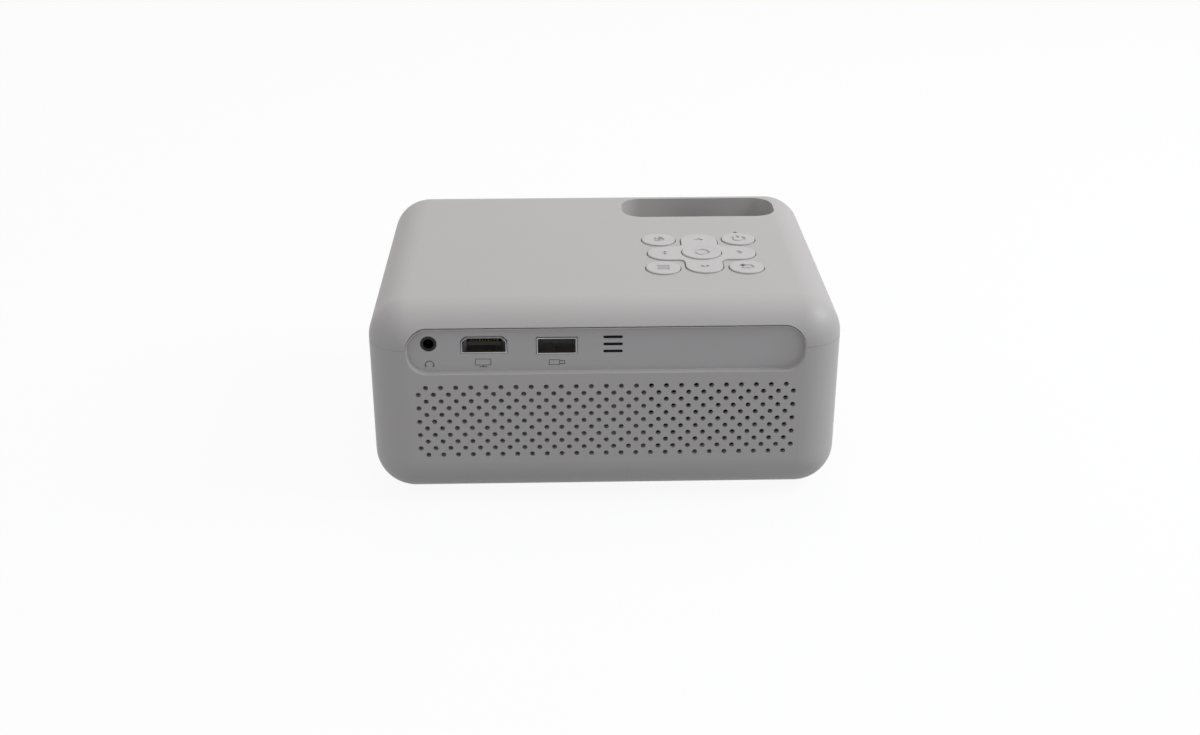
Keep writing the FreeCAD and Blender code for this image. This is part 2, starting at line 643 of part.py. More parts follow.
def hdmi_prism(name, y, length, grow):
    """A prism along Y with the socket's outline, its two upper corners cut off."""
    body = DOC.addObject("PartDesign::Body", name)
    sketch = new_sketch(body, name + "_outline", "XZ_Plane")
    half = f"hdmi_width / 2 + {grow}"
    tall = f"hdmi_tall / 2 + {grow}"
    draw_outline(sketch, [(f"-({half})", f"-({tall})"), (half, f"-({tall})"),
                          (half, f"{tall} - hdmi_chamfer"), (f"{half} - hdmi_chamfer", tall),
                          (f"hdmi_chamfer - ({half})", tall), (f"-({half})", f"{tall} - hdmi_chamfer")])
    prism = pad(body, sketch, length)
    prism.Reversed = True
    return place(body, "hdmi_x", y, "hdmi_height")


def port_panel():
    """The recessed panel round the ports, with a flange behind its lower edge."""
    plug = rounded_plate("panel_plug", "0", "panel_face", "panel_centre_height",
                         "panel_width - 2 * panel_gap", "panel_height - 2 * panel_gap",
                         "panel_thickness", "panel_corner_radius - panel_gap", AXES["Y"])
    flange = box("panel_flange", "0", "(rear_inner + panel_back) / 2",
                 "panel_centre_height - panel_height / 2 - panel_flange",
                 "panel_width - 2 * panel_corner_radius", "panel_back - rear_inner",
                 "panel_flange + panel_gap")
    return keep("port_panel", cut("port_panel", fuse("panel_solid", plug, flange), *port_mouths()))


def lens_bezel():
    """The trim ring round the lens in the front wall."""
    start = "front_face + bezel_proud - bezel_depth"
    return keep("lens_bezel", tube("lens_bezel", "well_x", start, "lens_height",
                                   "bezel_radius - panel_gap / 2", "bezel_bore", "bezel_depth", "Y"))


def rubber_feet():
    """Four round feet set in shallow pockets."""
    feet = columns("foot", foot_places(), "0", "foot_radius", "foot_height + foot_seat")
    return keep("rubber_feet", gather("rubber_feet", feet))


def case_screws():
    """Four screws up through the lower shell and middle frame into the cover's posts."""
    shank = "frame_top - case_boss_floor + case_screw_grip"
    heads = columns("case_screw_head", case_screw_places(), "case_boss_floor - case_screw_head_height",
                    "case_screw_head_radius", "case_screw_head_height")
    shanks = columns("case_screw_shank", case_screw_places(), "case_boss_floor", "case_screw_radius",
                     shank)
    screws = [fuse(f"case_screw_{index}", *pair) for index, pair in enumerate(zip(heads, shanks))]
    return keep("case_screws", gather("case_screws", screws))


def tripod_bush():
    """The brass bush in the base that a tripod screw enters."""
    return keep("tripod_bush", tube("tripod_bush", "0", "0", "foot_height", "bush_radius",
                                    "bush_bore_radius", "bush_length"))


def speaker_cloth():
    """The thin cloth behind the left part of the grille."""
    left = "-grille_length - cloth_margin"
    rise = "grille_rise + cloth_margin"
    return keep("speaker_cloth", box("speaker_cloth", f"(({left}) + cloth_end) / 2",
                                     "rear_inner + cloth_thickness / 2",
                                     f"grille_height_centre - ({rise})", f"cloth_end - ({left})",
                                     "cloth_thickness", f"2 * ({rise})"))


# ---------------------------------------------------------------- keypad

def key(label, x, y, radius, top="key_top"):
    """A round key: a cap through the cover, a flange under it and a stem above its switch."""
    body = DOC.addObject("PartDesign::Body", label)
    for name, size, low, high in (("cap", radius, "key_flange_bottom", top),
                                  ("flange", f"{radius} + key_flange", "key_flange_bottom",
                                   "key_flange_top"),
                                  ("stem", "key_stem_radius", "key_foot", "key_flange_bottom")):
        sketch = new_sketch(body, f"{label}_{name}", lift=low)
        draw_circle(sketch, size)
        pad(body, sketch, f"({high}) - ({low})")
    round_edges(body, "key_edge", level_edge(number(top)))
    return keep(label, place(body, x, y, "0"))


def ok_button():
    """The round centre key, which stands a little proud of the navigation pad round it."""
    return key("ok_button", "keypad_x", "keypad_y", "ok_radius", "key_top + ok_raise")


def nav_stem_places():
    """The four places under the arms where the pad meets its switches."""
    reach = "(nav_span - nav_arm) / 2"
    return [(f"keypad_x + {reach}", "keypad_y"), (f"keypad_x - {reach}", "keypad_y"),
            ("keypad_x", f"keypad_y + {reach}"), ("keypad_x", f"keypad_y - {reach}")]


def nav_pad():
    """The cross-shaped navigation pad round the centre key."""
    plate = nav_plate("nav_cap", "key_flange_bottom", "key_top - key_flange_bottom", "0")
    flange = nav_plate("nav_flange", "key_flange_bottom", "key_flange_thickness", "key_flange")
    round_edges(plate, "key_edge", level_edge(number("key_top - key_flange_bottom")))
    stems = columns("nav_stem", nav_stem_places(), "key_foot", "key_stem_radius", "key_stem_length")
    room = cylinder("ok_room", "keypad_x", "keypad_y", "key_foot", "ok_radius + key_gap",
                    "key_top - key_foot + overshoot")
    flange_room = cylinder("ok_flange_room", "keypad_x", "keypad_y", "key_foot",
                           "ok_radius + key_flange + key_gap", "key_flange_top + key_gap - key_foot")
    return keep("nav_pad", cut("nav_pad", fuse("nav_solid", plate, flange, *stems), room, flange_room))


def nav_pivot():
    """The springy ring under the pad that lets it rock both ways."""
    return keep("nav_pivot", tube("nav_pivot", "keypad_x", "keypad_y", "keypad_board_top + pivot_lift",
                                  "pivot_radius", "pivot_radius - pivot_width", "pivot_thickness"))


def keypad_board():
    """The circuit board under the keys, screwed to the cover's bosses."""
    board = rounded_plate("keypad_sheet", "keypad_x", "keypad_y", "keypad_board_bottom",
                          "keypad_board_width", "keypad_board_depth", "board_thickness",
                          "keypad_boss_radius")
    holes = columns("keypad_board_hole", keypad_corners(), "keypad_board_bottom - overshoot",
                    "small_screw_radius + screw_clearance", "board_thickness + 2 * overshoot")
    return keep("keypad_board", cut("keypad_board", board, *holes))


def keypad_switches():
    """One small push switch under each key and under each arm of the pad."""
    places = list(button_places().values()) + nav_stem_places() + [("keypad_x", "keypad_y")]
    switches = []
    for index, (x, y) in enumerate(places):
        case = box(f"switch_case_{index}", x, y, "keypad_board_top", "switch_side", "switch_side",
                   "switch_height")
        cap = cylinder(f"switch_cap_{index}", x, y, "keypad_board_top + switch_height",
                       "switch_cap_radius", "switch_cap_height")
        switches.append(fuse(f"switch_{index}", case, cap))
    return keep("keypad_switches", gather("keypad_switches", switches))


def status_light():
    """The small light guide beside the power button, standing on the keypad board."""
    pin = cylinder("light_pin", "light_x", "light_y", "keypad_board_top", "light_radius - panel_gap / 2",
                   "body_top - keypad_board_top")
    foot = cylinder("light_foot", "light_x", "light_y", "keypad_board_top", "2 * light_radius",
                    "switch_height")
    return keep("status_light", fuse("status_light", pin, foot))


# ---------------------------------------------------------------- middle frame and boards

def io_post_places():
    """The four posts of the middle frame that carry the port board."""
    left = "io_board_left + 2 * frame_post_radius"
    right = "io_board_right - 2 * frame_post_radius"
    front = "io_board_front - frame_post_radius"
    back = "panel_back + 2 * frame_post_radius"
    return [(left, front), (right, front), (right, back), ("io_post_x", back)]


def middle_frame():
    """The plate above the disc drive, with posts for the port board and ribs for the fan."""
    plate = rounded_plate("frame_plate", "0", "0", "frame_height",
                          "2 * (side_inner - frame_margin)", "2 * (front_inner - frame_margin)",
                          "frame_thickness", "frame_corner_radius")
    posts = columns("frame_post", io_post_places(), "frame_height", "frame_post_radius",
                    "io_board_bottom - frame_height")
    ribs = [box(f"fan_rib_{index}", f"fan_x + {side} * (fan_side + fan_rib_thickness) / 2",
                "fan_y + fan_depth / 2", "frame_height", "fan_rib_thickness", "fan_depth",
                "fan_rib_height") for index, side in enumerate(("-1", "1"))]
    holes = columns("frame_screw_hole", case_screw_places(), "frame_height - overshoot",
                    "case_screw_radius + screw_clearance", "frame_thickness + 2 * overshoot")
    holes += columns("frame_post_hole", io_post_places(), "io_board_bottom - small_screw_grip",
                     "small_screw_radius", "small_screw_grip + overshoot")
    return keep("middle_frame", cut("middle_frame", fuse("frame_solid", plate, *posts, *ribs), *holes))


def board_sheet(name, left, right, back, front, bottom):
    """A flat circuit board between four sides."""
    return box(name, f"(({left}) + ({right})) / 2", f"(({back}) + ({front})) / 2", bottom,
               f"({right}) - ({left})", f"({front}) - ({back})", "board_thickness")


def port_board():
    """The narrow board behind the port panel, on the frame's posts."""
    sheet = board_sheet("port_sheet", "io_board_left", "io_board_right", "panel_back + panel_gap",
                        "io_board_front", "io_board_bottom")
    holes = columns("port_board_hole", io_post_places(), "io_board_bottom - overshoot",
                    "small_screw_radius + screw_clearance", "board_thickness + 2 * overshoot")
    return keep("port_board", cut("port_board", sheet, *holes))


def main_board():
    """The main board on four stand-offs of the light engine, with its larger chips."""
    sheet = board_sheet("main_sheet", "main_board_left", "main_board_right",
                        "engine_y - main_board_depth / 2", "engine_y + main_board_depth / 2",
                        "main_board_bottom")
    middle = "(main_board_left + main_board_right) / 2"
    chips = [box(f"chip_{index}", f"{middle} + ({shift}) * chip_side", f"engine_y + ({along}) * chip_side",
                 "main_board_bottom + board_thickness", f"({size}) * chip_side", f"({size}) * chip_side",
                 "chip_tall")
             for index, (shift, along, size) in enumerate((("0", "0", "1"), ("-1.4", "0.6", "0.7"),
                                                           ("1.3", "-0.8", "0.6"), ("-1.3", "-1", "0.5")))]
    return keep("main_board", fuse("main_board", sheet, *chips))


def hollow_socket(label, outside, inside, tongue):
    """A metal socket: a shell open to the rear with a tongue inside."""
    return keep(label, fuse(label, cut(label + "_shell", outside, inside), tongue))


def hdmi_socket():
    """The video socket on the port board."""
    outside = hdmi_prism("hdmi_outside", "panel_face", "hdmi_depth", "0")
    inside = hdmi_prism("hdmi_inside", "panel_face - overshoot", "hdmi_depth + overshoot - socket_skin",
                        "(-socket_skin)")
    tongue = box("hdmi_tongue", "hdmi_x", "panel_face + hdmi_depth / 2 + socket_skin",
                 "hdmi_height - tongue_thickness / 2", "hdmi_tongue_width",
                 "hdmi_depth - 2 * socket_skin", "tongue_thickness")
    return hollow_socket("hdmi_socket", outside, inside, tongue)


def usb_socket():
    """The memory-stick socket on the port board."""
    middle = "panel_face + usb_depth / 2"
    outside = box("usb_outside", "usb_x", middle, "usb_height - usb_tall / 2", "usb_width",
                  "usb_depth", "usb_tall")
    inside = box("usb_inside", "usb_x", f"{middle} - socket_skin",
                 "usb_height - usb_tall / 2 + socket_skin", "usb_width - 2 * socket_skin",
                 "usb_depth", "usb_tall - 2 * socket_skin")
    tongue = box("usb_tongue", "usb_x", f"{middle} + socket_skin",
                 "usb_height + socket_skin", "usb_tongue_width", "usb_depth - 2 * socket_skin",
                 "tongue_thickness")
    return hollow_socket("usb_socket", outside, inside, tongue)


def headphone_jack():
    """The headphone jack: a round nose in the panel on a square body."""
    nose = cylinder("jack_nose", "jack_x", "panel_face", "jack_height", "jack_radius",
                    "panel_thickness + overshoot", "Y")
    body = box("jack_body", "jack_x", "panel_back + jack_depth / 2 - panel_thickness / 2",
               "io_board_height", "jack_body_width", "jack_depth - panel_thickness",
               "jack_body_height")
    bore = cylinder("jack_bore", "jack_x", "panel_face - overshoot", "jack_height", "jack_bore_radius",
                    "jack_depth", "Y")
    return keep("headphone_jack", cut("headphone_jack", fuse("jack_solid", nose, body), bore))


def infrared_receiver():
    """The remote receiver that looks out through the three slots."""
    return keep("infrared_receiver",
                box("infrared_receiver", "slot_x", "panel_back + receiver_depth / 2 + panel_gap",
                    "io_board_height", "receiver_width", "receiver_depth", "receiver_tall"))


def power_inlet():
    """The round power inlet behind the right wall, with its centre pin."""
    body = box("inlet_body", "side_inner - inlet_depth / 2", "inlet_y", "frame_top", "inlet_depth",
               "inlet_width", "inlet_tall")
    bore = cylinder("inlet_bore", "side_inner - inlet_depth + 2 * inlet_pin", "inlet_y",
                    "inlet_height", "inlet_bore", "inlet_depth", "X")
    pin = cylinder("inlet_pin", "side_inner - inlet_depth + inlet_pin", "inlet_y", "inlet_height",
                   "inlet_pin", "inlet_depth - 2 * inlet_pin", "X")
    return keep("power_inlet", fuse("power_inlet", cut("inlet_shell", body, bore), pin))


def small_screws():
    """The identical small screws of the keypad board and the port board."""
    grip = "small_screw_grip - small_screw_radius"
    screws = []
    seats = [(x, y, "keypad_board_bottom", "board_thickness", 1) for x, y in keypad_corners()]
    seats += [(x, y, "io_board_height", "board_thickness", -1) for x, y in io_post_places()]
    for index, (x, y, seat, through, way) in enumerate(seats):
        low = f"{seat} - small_screw_head_height" if way > 0 else seat
        shank_low = seat if way > 0 else f"{seat} - {through} - ({grip})"
        head = cylinder(f"small_head_{index}", x, y, low, "small_screw_head", "small_screw_head_height")
        shank = cylinder(f"small_shank_{index}", x, y, shank_low, "small_screw_radius",
                         f"{through} + {grip}")
        screws.append(fuse(f"small_screw_{index}", head, shank))
    return keep("small_screws", gather("small_screws", screws))


# ---------------------------------------------------------------- light engine

def engine_plates():
    """The two fresnel lenses and the display panel between them, by name and left side."""
    step = "plate_thickness + plate_gap"
    return {"collimating_fresnel": "plate_left", "display_panel": f"plate_left + {step}",
            "field_fresnel": f"plate_left + 2 * ({step})"}


def engine_plate(label, left, grow="0"):
    """One upright plate across the light path."""
    return box(label, f"{left} + plate_thickness / 2", "engine_y",
               f"lens_height - plate_tall / 2 - {grow}", f"plate_thickness + 2 * {grow}",
               f"plate_width + 2 * {grow}", f"plate_tall + 2 * {grow}")


def engine_housing():
    """The black trough of the light path, grooved for its plates and open to the lens."""
    length = "engine_right - engine_left"
    middle = "(engine_right + engine_left) / 2"
    outside = box("engine_outside", middle, "engine_y", "engine_bottom", length, "engine_width",
                  "engine_tall - engine_wall")
    inside = box("engine_inside", f"{middle} - engine_wall / 2", "engine_y",
                 "engine_bottom + engine_wall", f"{length} - engine_wall",
                 "engine_width - 2 * engine_wall", "engine_tall")
    walls = [box(f"engine_rib_{name}", f"{left} + plate_thickness / 2", "engine_y", "engine_bottom",
                 "plate_thickness + 2 * engine_wall", "engine_width", "engine_tall - engine_wall")
             for name, left in engine_plates().items()]
    windows = box("engine_light_path", middle, "engine_y", "lens_height - plate_tall / 2 + engine_wall",
                  f"{length} - 2 * engine_wall", "plate_width - 2 * engine_wall", "engine_tall")
    seat = box("condenser_rib", "condenser_x + condenser_rib / 2", "engine_y", "engine_bottom",
               "condenser_rib", "engine_width", "engine_tall - engine_wall")
    seat_hole = cylinder("condenser_hole", "condenser_x - overshoot", "engine_y", "lens_height",
                         "condenser_radius + groove_gap", "condenser_rib + 2 * overshoot", "X")
    trough = fuse("engine_trough", cut("engine_shell", outside, inside), *walls)
    grooves = [box(f"engine_groove_{name}", f"{left} + plate_thickness / 2", "engine_y",
                   "lens_height - plate_tall / 2 - groove_gap",
                   "plate_thickness + 2 * groove_gap", "plate_width + 2 * groove_gap",
                   "engine_tall")
               for name, left in engine_plates().items()]
    window = cylinder("engine_window", "well_x", "engine_front - 2 * engine_wall", "lens_height",
                      "engine_window_radius", "4 * engine_wall", "Y")
    cleared = cut("engine_cleared", trough, windows, window, *grooves)
    return keep("engine_housing", fuse("engine_housing", cleared, cut("condenser_seat", seat, seat_hole)))


def engine_lid():
    """The flat lid of the light engine, with the stand-offs of the main board."""
    sheet = box("engine_lid_sheet", "(engine_right + engine_left) / 2", "engine_y",
                "engine_top - engine_wall", "engine_right - engine_left", "engine_width", "engine_wall")
    places = [(f"main_board_right - {x}", f"engine_y + {side} * (main_board_depth / 2 - frame_post_radius)")
              for x in ("frame_post_radius", "main_board_right + (-engine_left) - frame_post_radius")
              for side in ("-1", "1")]
    standoffs = columns("engine_standoff", places, "engine_top - engine_wall", "frame_post_radius",
                        "engine_wall + main_board_lift")
    return keep("engine_lid", fuse("engine_lid", sheet, *standoffs))


def led_heatsink():
    """The finned heat sink at the left end of the light path."""
    base = box("sink_base", "engine_left - sink_base / 2 - led_thickness", "engine_y", "engine_bottom",
               "sink_base", "engine_width", "engine_tall")
    fins = []
    for index in range(int(number("fin_count"))):
        y = (f"engine_back + fin_thickness / 2"
             f" + {index} * (engine_width - fin_thickness) / (fin_count - 1)")
        fins.append(box(f"sink_fin_{index}", "engine_left - led_thickness - (sink_base + sink_depth) / 2",
                        y, "engine_bottom", "sink_depth - sink_base", "fin_thickness", "engine_tall"))
    return keep("led_heatsink", fuse("led_heatsink", base, *fins))


def led_module():
    """The light source: a square carrier on the heat sink with a round emitter."""
    carrier = box("led_carrier", "engine_left - led_thickness / 2", "engine_y",
                  "lens_height - led_side / 2", "led_thickness", "led_side", "led_side")
    emitter = cylinder("led_emitter", "engine_left", "engine_y", "lens_height", "emitter_radius",
                       "emitter_thickness", "X")
    return keep("led_module", fuse("led_module", carrier, emitter))


def lens(name, x, y, z, radius, thickness, front_bulge, back_bulge, axis):
    """A round lens along one axis from a back point, each side domed unless its bulge is None."""
    shape = cylinder(name + "_disc", x, y, z, radius, thickness, axis)
    for side, bulge in (("front", front_bulge), ("back", back_bulge)):
        if bulge is None:
            continue
        ball = DOC.addObject("Part::Sphere", f"{name}_{side}_ball")
        ball_radius = f"((({radius}) * ({radius}) + ({bulge}) * ({bulge})) / (2 * ({bulge})))"
        bind(ball, Radius=ball_radius)
        shift = f"{thickness} - {ball_radius}" if side == "front" else ball_radius
        centre = {"X": (f"{x} + {shift}", y, z), "Y": (x, f"{y} + {shift}", z)}[axis]
        place(ball, *centre)
        shape = common(f"{name}_{side}", shape, ball)
    return shape


def condenser_lens():
    """The plano-convex lens in front of the light source."""
    return keep("condenser_lens", lens("condenser", "condenser_x", "engine_y", "lens_height",
                                       "condenser_radius", "condenser_thickness",
                                       "condenser_thickness - condenser_rim", None, "X"))


def funnel_wedge(name, grow):
    """A four-sided wedge along X that widens towards the first fresnel lens."""
    wedge = DOC.addObject("Part::Wedge", name)
    near = f"condenser_radius - funnel_wall + {grow}"
    across = f"plate_width / 2 - 2 * funnel_wall + {grow}"
    tall = f"plate_tall / 2 - funnel_wall + {grow}"
    bind(wedge, Ymin="0", Ymax="funnel_length", Xmin=f"-({near})", Xmax=near, Zmin=f"-({near})",
         Zmax=near, X2min=f"-({across})", X2max=across, Z2min=f"-({tall})", Z2max=tall)
    turn = FreeCAD.Rotation(FreeCAD.Vector(0, 0, 1), -90)
    return place(wedge, "plate_left - engine_wall - funnel_length", "engine_y", "lens_height", turn)


def light_funnel():
    """The four-sided reflector from the condenser to the first fresnel lens."""
    return keep("light_funnel", cut("light_funnel", funnel_wedge("funnel_outside", "funnel_wall"),
                                    funnel_wedge("funnel_inside", "0")))


def fold_mirror():
    """The mirror at 45 degrees that turns the light forward into the lens."""
    mirror = DOC.addObject("Part::Box", "fold_mirror")
    bind(mirror, Length="mirror_length", Width="mirror_thickness", Height="mirror_tall")
    turn = FreeCAD.Rotation(FreeCAD.Vector(0, 0, 1), 45)
    place(mirror, "well_x - (mirror_length / 2 - mirror_thickness) * sqrt(2) / 2",
          "engine_y - (mirror_length / 2 + mirror_thickness) * sqrt(2) / 2",
          "engine_bottom + engine_wall", turn)
    return keep("fold_mirror", mirror)


# ---------------------------------------------------------------- projection lens

def lens_mount():
    """The fixed lens tube on the light engine, with a square flange and two ring collars."""
    flange = box("mount_flange", "well_x", "engine_front + mount_flange_thickness / 2",
                 "lens_height - mount_flange / 2", "mount_flange", "mount_flange_thickness",
                 "mount_flange")
    outside = cylinder("mount_tube", "well_x", "engine_front", "lens_height", "mount_radius",
                       "mount_front - engine_front", "Y")
    collars = [cylinder(f"mount_collar_{side}", "well_x", start, "lens_height",
                        "mount_radius + mount_collar", "mount_collar_width", "Y")
               for side, start in (("back", "ring_y - ring_width / 2 - key_gap - mount_collar_width"),
                                   ("front", "ring_y + ring_width / 2 + key_gap"))]
    bore = cylinder("mount_bore", "well_x", "engine_front - overshoot", "lens_height",
                    "mount_radius - mount_wall", "mount_front - engine_front + 2 * overshoot", "Y")
    return keep("lens_mount", cut("lens_mount", fuse("mount_solid", flange, outside, *collars), bore))


def focus_ring():
    """The ribbed ring round the lens tube that a finger turns in the well."""
    body = DOC.addObject("PartDesign::Body", "focus_ring")
    outline = new_sketch(body, "ring_outline")
    draw_circle(outline, "ring_radius")
    draw_circle(outline, "mount_radius + running_gap")
    pad(body, outline, "ring_width")
    DOC.recompute()
    groove = new_sketch(body, "ring_groove")
    low = "ring_radius - ring_grip_depth"
    half = "ring_grip_width / 2"
    draw_outline(groove, [(low, f"-{half}"), ("ring_radius + overshoot", f"-{half}"),
                          ("ring_radius + overshoot", half), (low, half)])
    cutter = pocket(body, groove, "ring_width")
    DOC.recompute()
    polar_pattern(body, cutter, "ring_grip_count")
    return keep("focus_ring", place(body, "well_x", "ring_y - ring_width / 2", "lens_height", AXES["Y"]))


def barrel_start():
    """The rear end of the sliding lens barrel."""
    return "barrel_front - barrel_length"


def lens_barrel():
    """The sliding barrel that holds the glass."""
    return keep("lens_barrel", tube("lens_barrel", "well_x", barrel_start(), "lens_height",
                                    "barrel_radius", "barrel_radius - barrel_wall", "barrel_length",
                                    "Y"))


def lens_elements():
    """The glass elements, spread evenly along the barrel."""
    pitch = "(barrel_length - 2 * lens_inset - lens_thickness) / (lens_count - 1)"
    elements = [lens(f"element_{index}", "well_x", f"{barrel_start()} + lens_inset + {index} * {pitch}",
                     "lens_height", "barrel_radius - barrel_wall", "lens_thickness", "lens_bulge",
                     "lens_bulge", "Y") for index in range(int(number("lens_count")))]
    return keep("lens_elements", gather("lens_elements", elements))


# ---------------------------------------------------------------- fan and speakers

def fan_frame():
    """The square fan frame with its motor plate on three struts and the axle."""
    outside = rounded_plate("fan_outside", "fan_x", "fan_y", "fan_height", "fan_side", "fan_side",
                            "fan_depth", "fan_corner_radius", AXES["Y"])
    bore = cylinder("fan_bore", "fan_x", "fan_y - overshoot", "fan_height", "fan_bore",
                    "fan_depth + 2 * overshoot", "Y")
    plate_start = "fan_y + fan_depth - fan_strut_depth"
    plate = cylinder("fan_plate", "fan_x", plate_start, "fan_height", "fan_hub_radius",
                     "fan_strut_depth", "Y")
    across = box("fan_strut_across", "fan_x", f"{plate_start} + fan_strut_depth / 2",
                 "fan_height - fan_strut_width / 2", "2 * fan_bore + overshoot", "fan_strut_depth",
                 "fan_strut_width")
    upright = box("fan_strut_upright", "fan_x", f"{plate_start} + fan_strut_depth / 2",
                  "fan_height - fan_bore - overshoot / 2", "fan_strut_width", "fan_strut_depth",
                  "2 * fan_bore + overshoot")
    axle = cylinder("fan_axle", "fan_x", "fan_y + 2 * fan_blade_gap", "fan_height",
                    "fan_axle_radius", "fan_depth - 3 * fan_blade_gap", "Y")
    return keep("fan_frame", fuse("fan_frame", cut("fan_ring", outside, bore), plate, across, upright,
                                  axle))


def fan_rotor():
    """The fan's hub with tilted blades, running on the axle."""
    body = DOC.addObject("PartDesign::Body", "fan_rotor")
    length = "fan_depth - fan_strut_depth - 2 * fan_blade_gap"
    hub = new_sketch(body, "rotor_hub")
    draw_circle(hub, "fan_hub_radius")
    draw_circle(hub, "fan_axle_radius + running_gap")
    pad(body, hub, length)
    DOC.recompute()
    blade = body.newObject("PartDesign::AdditiveBox", "rotor_blade")
    reach = "fan_bore - fan_blade_gap - fan_hub_radius"
    bind(blade, Length=reach, Width="fan_blade_thickness", Height="fan_blade_chord")
    tilt = FreeCAD.Rotation(FreeCAD.Vector(1, 0, 0), SIZES["fan_blade_pitch"])
    blade.AttachmentOffset = FreeCAD.Placement(FreeCAD.Vector(), tilt)
    support = next(item for item in body.Origin.OriginFeatures if item.Role == "XY_Plane")
    blade.AttachmentSupport = (support, [""])
    blade.MapMode = "FlatFace"
    bind(blade, AttachmentOffset__Base__x="fan_hub_radius - fan_blade_gap",
         AttachmentOffset__Base__y="fan_blade_chord * sin(fan_blade_pitch * 1deg) / 2",
         AttachmentOffset__Base__z=f"({length} - fan_blade_chord * cos(fan_blade_pitch * 1deg)) / 2")
    DOC.recompute()
    polar_pattern(body, blade, "fan_blade_count")
    return keep("fan_rotor", place(body, "fan_x", "fan_y + fan_blade_gap", "fan_height", AXES["Y"]))


def speaker_places():
    """The middles of the two speakers along X."""
    return ["speaker_x - speaker_spacing / 2", "speaker_x + speaker_spacing / 2"]


def speaker_frames():
    """Two square speaker frames against the cloth, each with a rear wall round the coil."""
    frames = []
    for index, x in enumerate(speaker_places()):
        block = box(f"speaker_block_{index}", x, "(speaker_front + speaker_back) / 2", "frame_top",
                    "speaker_side", "speaker_frame_depth", "speaker_side")
        room = cylinder(f"speaker_room_{index}", x, "speaker_front - overshoot", "speaker_height",
                        "cone_radius + cone_gap", "speaker_frame_depth", "Y")
        hole = cylinder(f"speaker_coil_hole_{index}", x, "speaker_front", "speaker_height",
                        "coil_radius + 3 * coil_wall", "speaker_frame_depth + overshoot", "Y")
        frames.append(cut(f"speaker_frame_{index}", block, room, hole))
    return keep("speaker_frames", gather("speaker_frames", frames))


def speaker_magnets():
    """Two round magnets on the frames, each with a ring gap for the voice coil."""
    magnets = []
    for index, x in enumerate(speaker_places()):
        block = cylinder(f"magnet_block_{index}", x, "speaker_back", "speaker_height",
                         "magnet_radius", "magnet_depth", "Y")
        gap = tube(f"magnet_gap_{index}", x, "speaker_back - overshoot", "speaker_height",
                   "coil_radius + 2 * coil_wall", "coil_radius - coil_wall", "coil_length + overshoot", "Y")
        magnets.append(cut(f"magnet_{index}", block, gap))
    return keep("speaker_magnets", gather("speaker_magnets", magnets))


def cone_solid(name, x, y, inset):
    """A shallow cone along Y that narrows to the voice coil."""
    cone = DOC.addObject("Part::Cone", name)
    bind(cone, Radius1=f"cone_radius - {inset}", Radius2=f"coil_radius + coil_wall - {inset}",
         Height="cone_depth")
    return place(cone, x, y, "speaker_height", AXES["Y"])


def speaker_cones():
    """Two speaker cones with their voice coils, which move together."""
    front = "speaker_front + cone_travel + cone_gap"
    cones = []
    for index, x in enumerate(speaker_places()):
        shell = cut(f"cone_shell_{index}", cone_solid(f"cone_outside_{index}", x, front, "0"),
                    cone_solid(f"cone_inside_{index}", x, f"{front} - coil_wall", "coil_wall"))
        coil = tube(f"cone_coil_{index}", x, f"{front} + cone_depth - coil_wall", "speaker_height",
                    "coil_radius + coil_wall", "coil_radius", "coil_length", "Y")
        cones.append(fuse(f"cone_{index}", shell, coil))
    return keep("speaker_cones", gather("speaker_cones", cones))


# ---------------------------------------------------------------- disc drive

def drive_box(name, inset, low, back, front):
    """The drive's box between two ends, rounded below as the base of the case is."""
    block = box(name + "_box", "0", f"(({back}) + ({front})) / 2", low, f"drive_width - 2 * ({inset})",
                f"({front}) - ({back})", "drive_height + overshoot")
    return common(name, block, rounded_block(name + "_limit", f"wall + slide_gap + {inset}"))


def drive_chassis():
    """The open steel pan of the disc drive."""
    pan = common("pan_outside", drive_box("pan_block", "0", "drive_base", "drive_back", "drive_front"),
                 slab("pan_slab", "drive_base", "drive_lid_bottom"))
    room = drive_box("pan_room", "sheet", "drive_floor", "drive_back + sheet", "front_face")
    return keep("drive_chassis", cut("drive_chassis", pan, room))


def drive_lid():
    """The flat steel lid of the disc drive."""
    return keep("drive_lid", box("drive_lid", "0", "(drive_back + drive_front) / 2",
                                 "drive_lid_bottom", "drive_width", "drive_front - drive_back", "sheet"))


def drive_board():
    """The drive's own circuit board, on the floor of the pan below the tray."""
    sheet = box("drive_board", "-drive_board_width / 2 - drive_board_lift", "-drive_board_depth / 2",
                "drive_floor + drive_board_lift", "drive_board_width", "drive_board_depth", "sheet")
    return keep("drive_board", sheet)


def tray_rails():
    """The two rails between tray and pan that slide half as far as the tray."""
    x = "(tray_width + rail_width) / 2 + slide_gap"
    rails = [box(f"rail_{index}", f"{side} * ({x})", "(rail_back + rail_front) / 2", "rail_bottom",
                 "rail_width", "rail_front - rail_back", "rail_tall")
             for index, side in enumerate(("-1", "1"))]
    return keep("tray_rails", gather("tray_rails", rails))


def along_sled(item):
    """Turn a piece drawn along X about the spindle, to the pickup's direction of travel."""
    item.Placement = FreeCAD.Placement(FreeCAD.Vector(),
                                       FreeCAD.Rotation(FreeCAD.Vector(0, 0, 1), SIZES["sled_angle"]))
    return item


def sled_box(name, back, front, width, low, high):
    """A box along the sled's travel between two distances from the spindle."""
    return box(name, f"(({back}) + ({front})) / 2", "0", low, f"({front}) - ({back})", width,
               f"({high}) - ({low})")


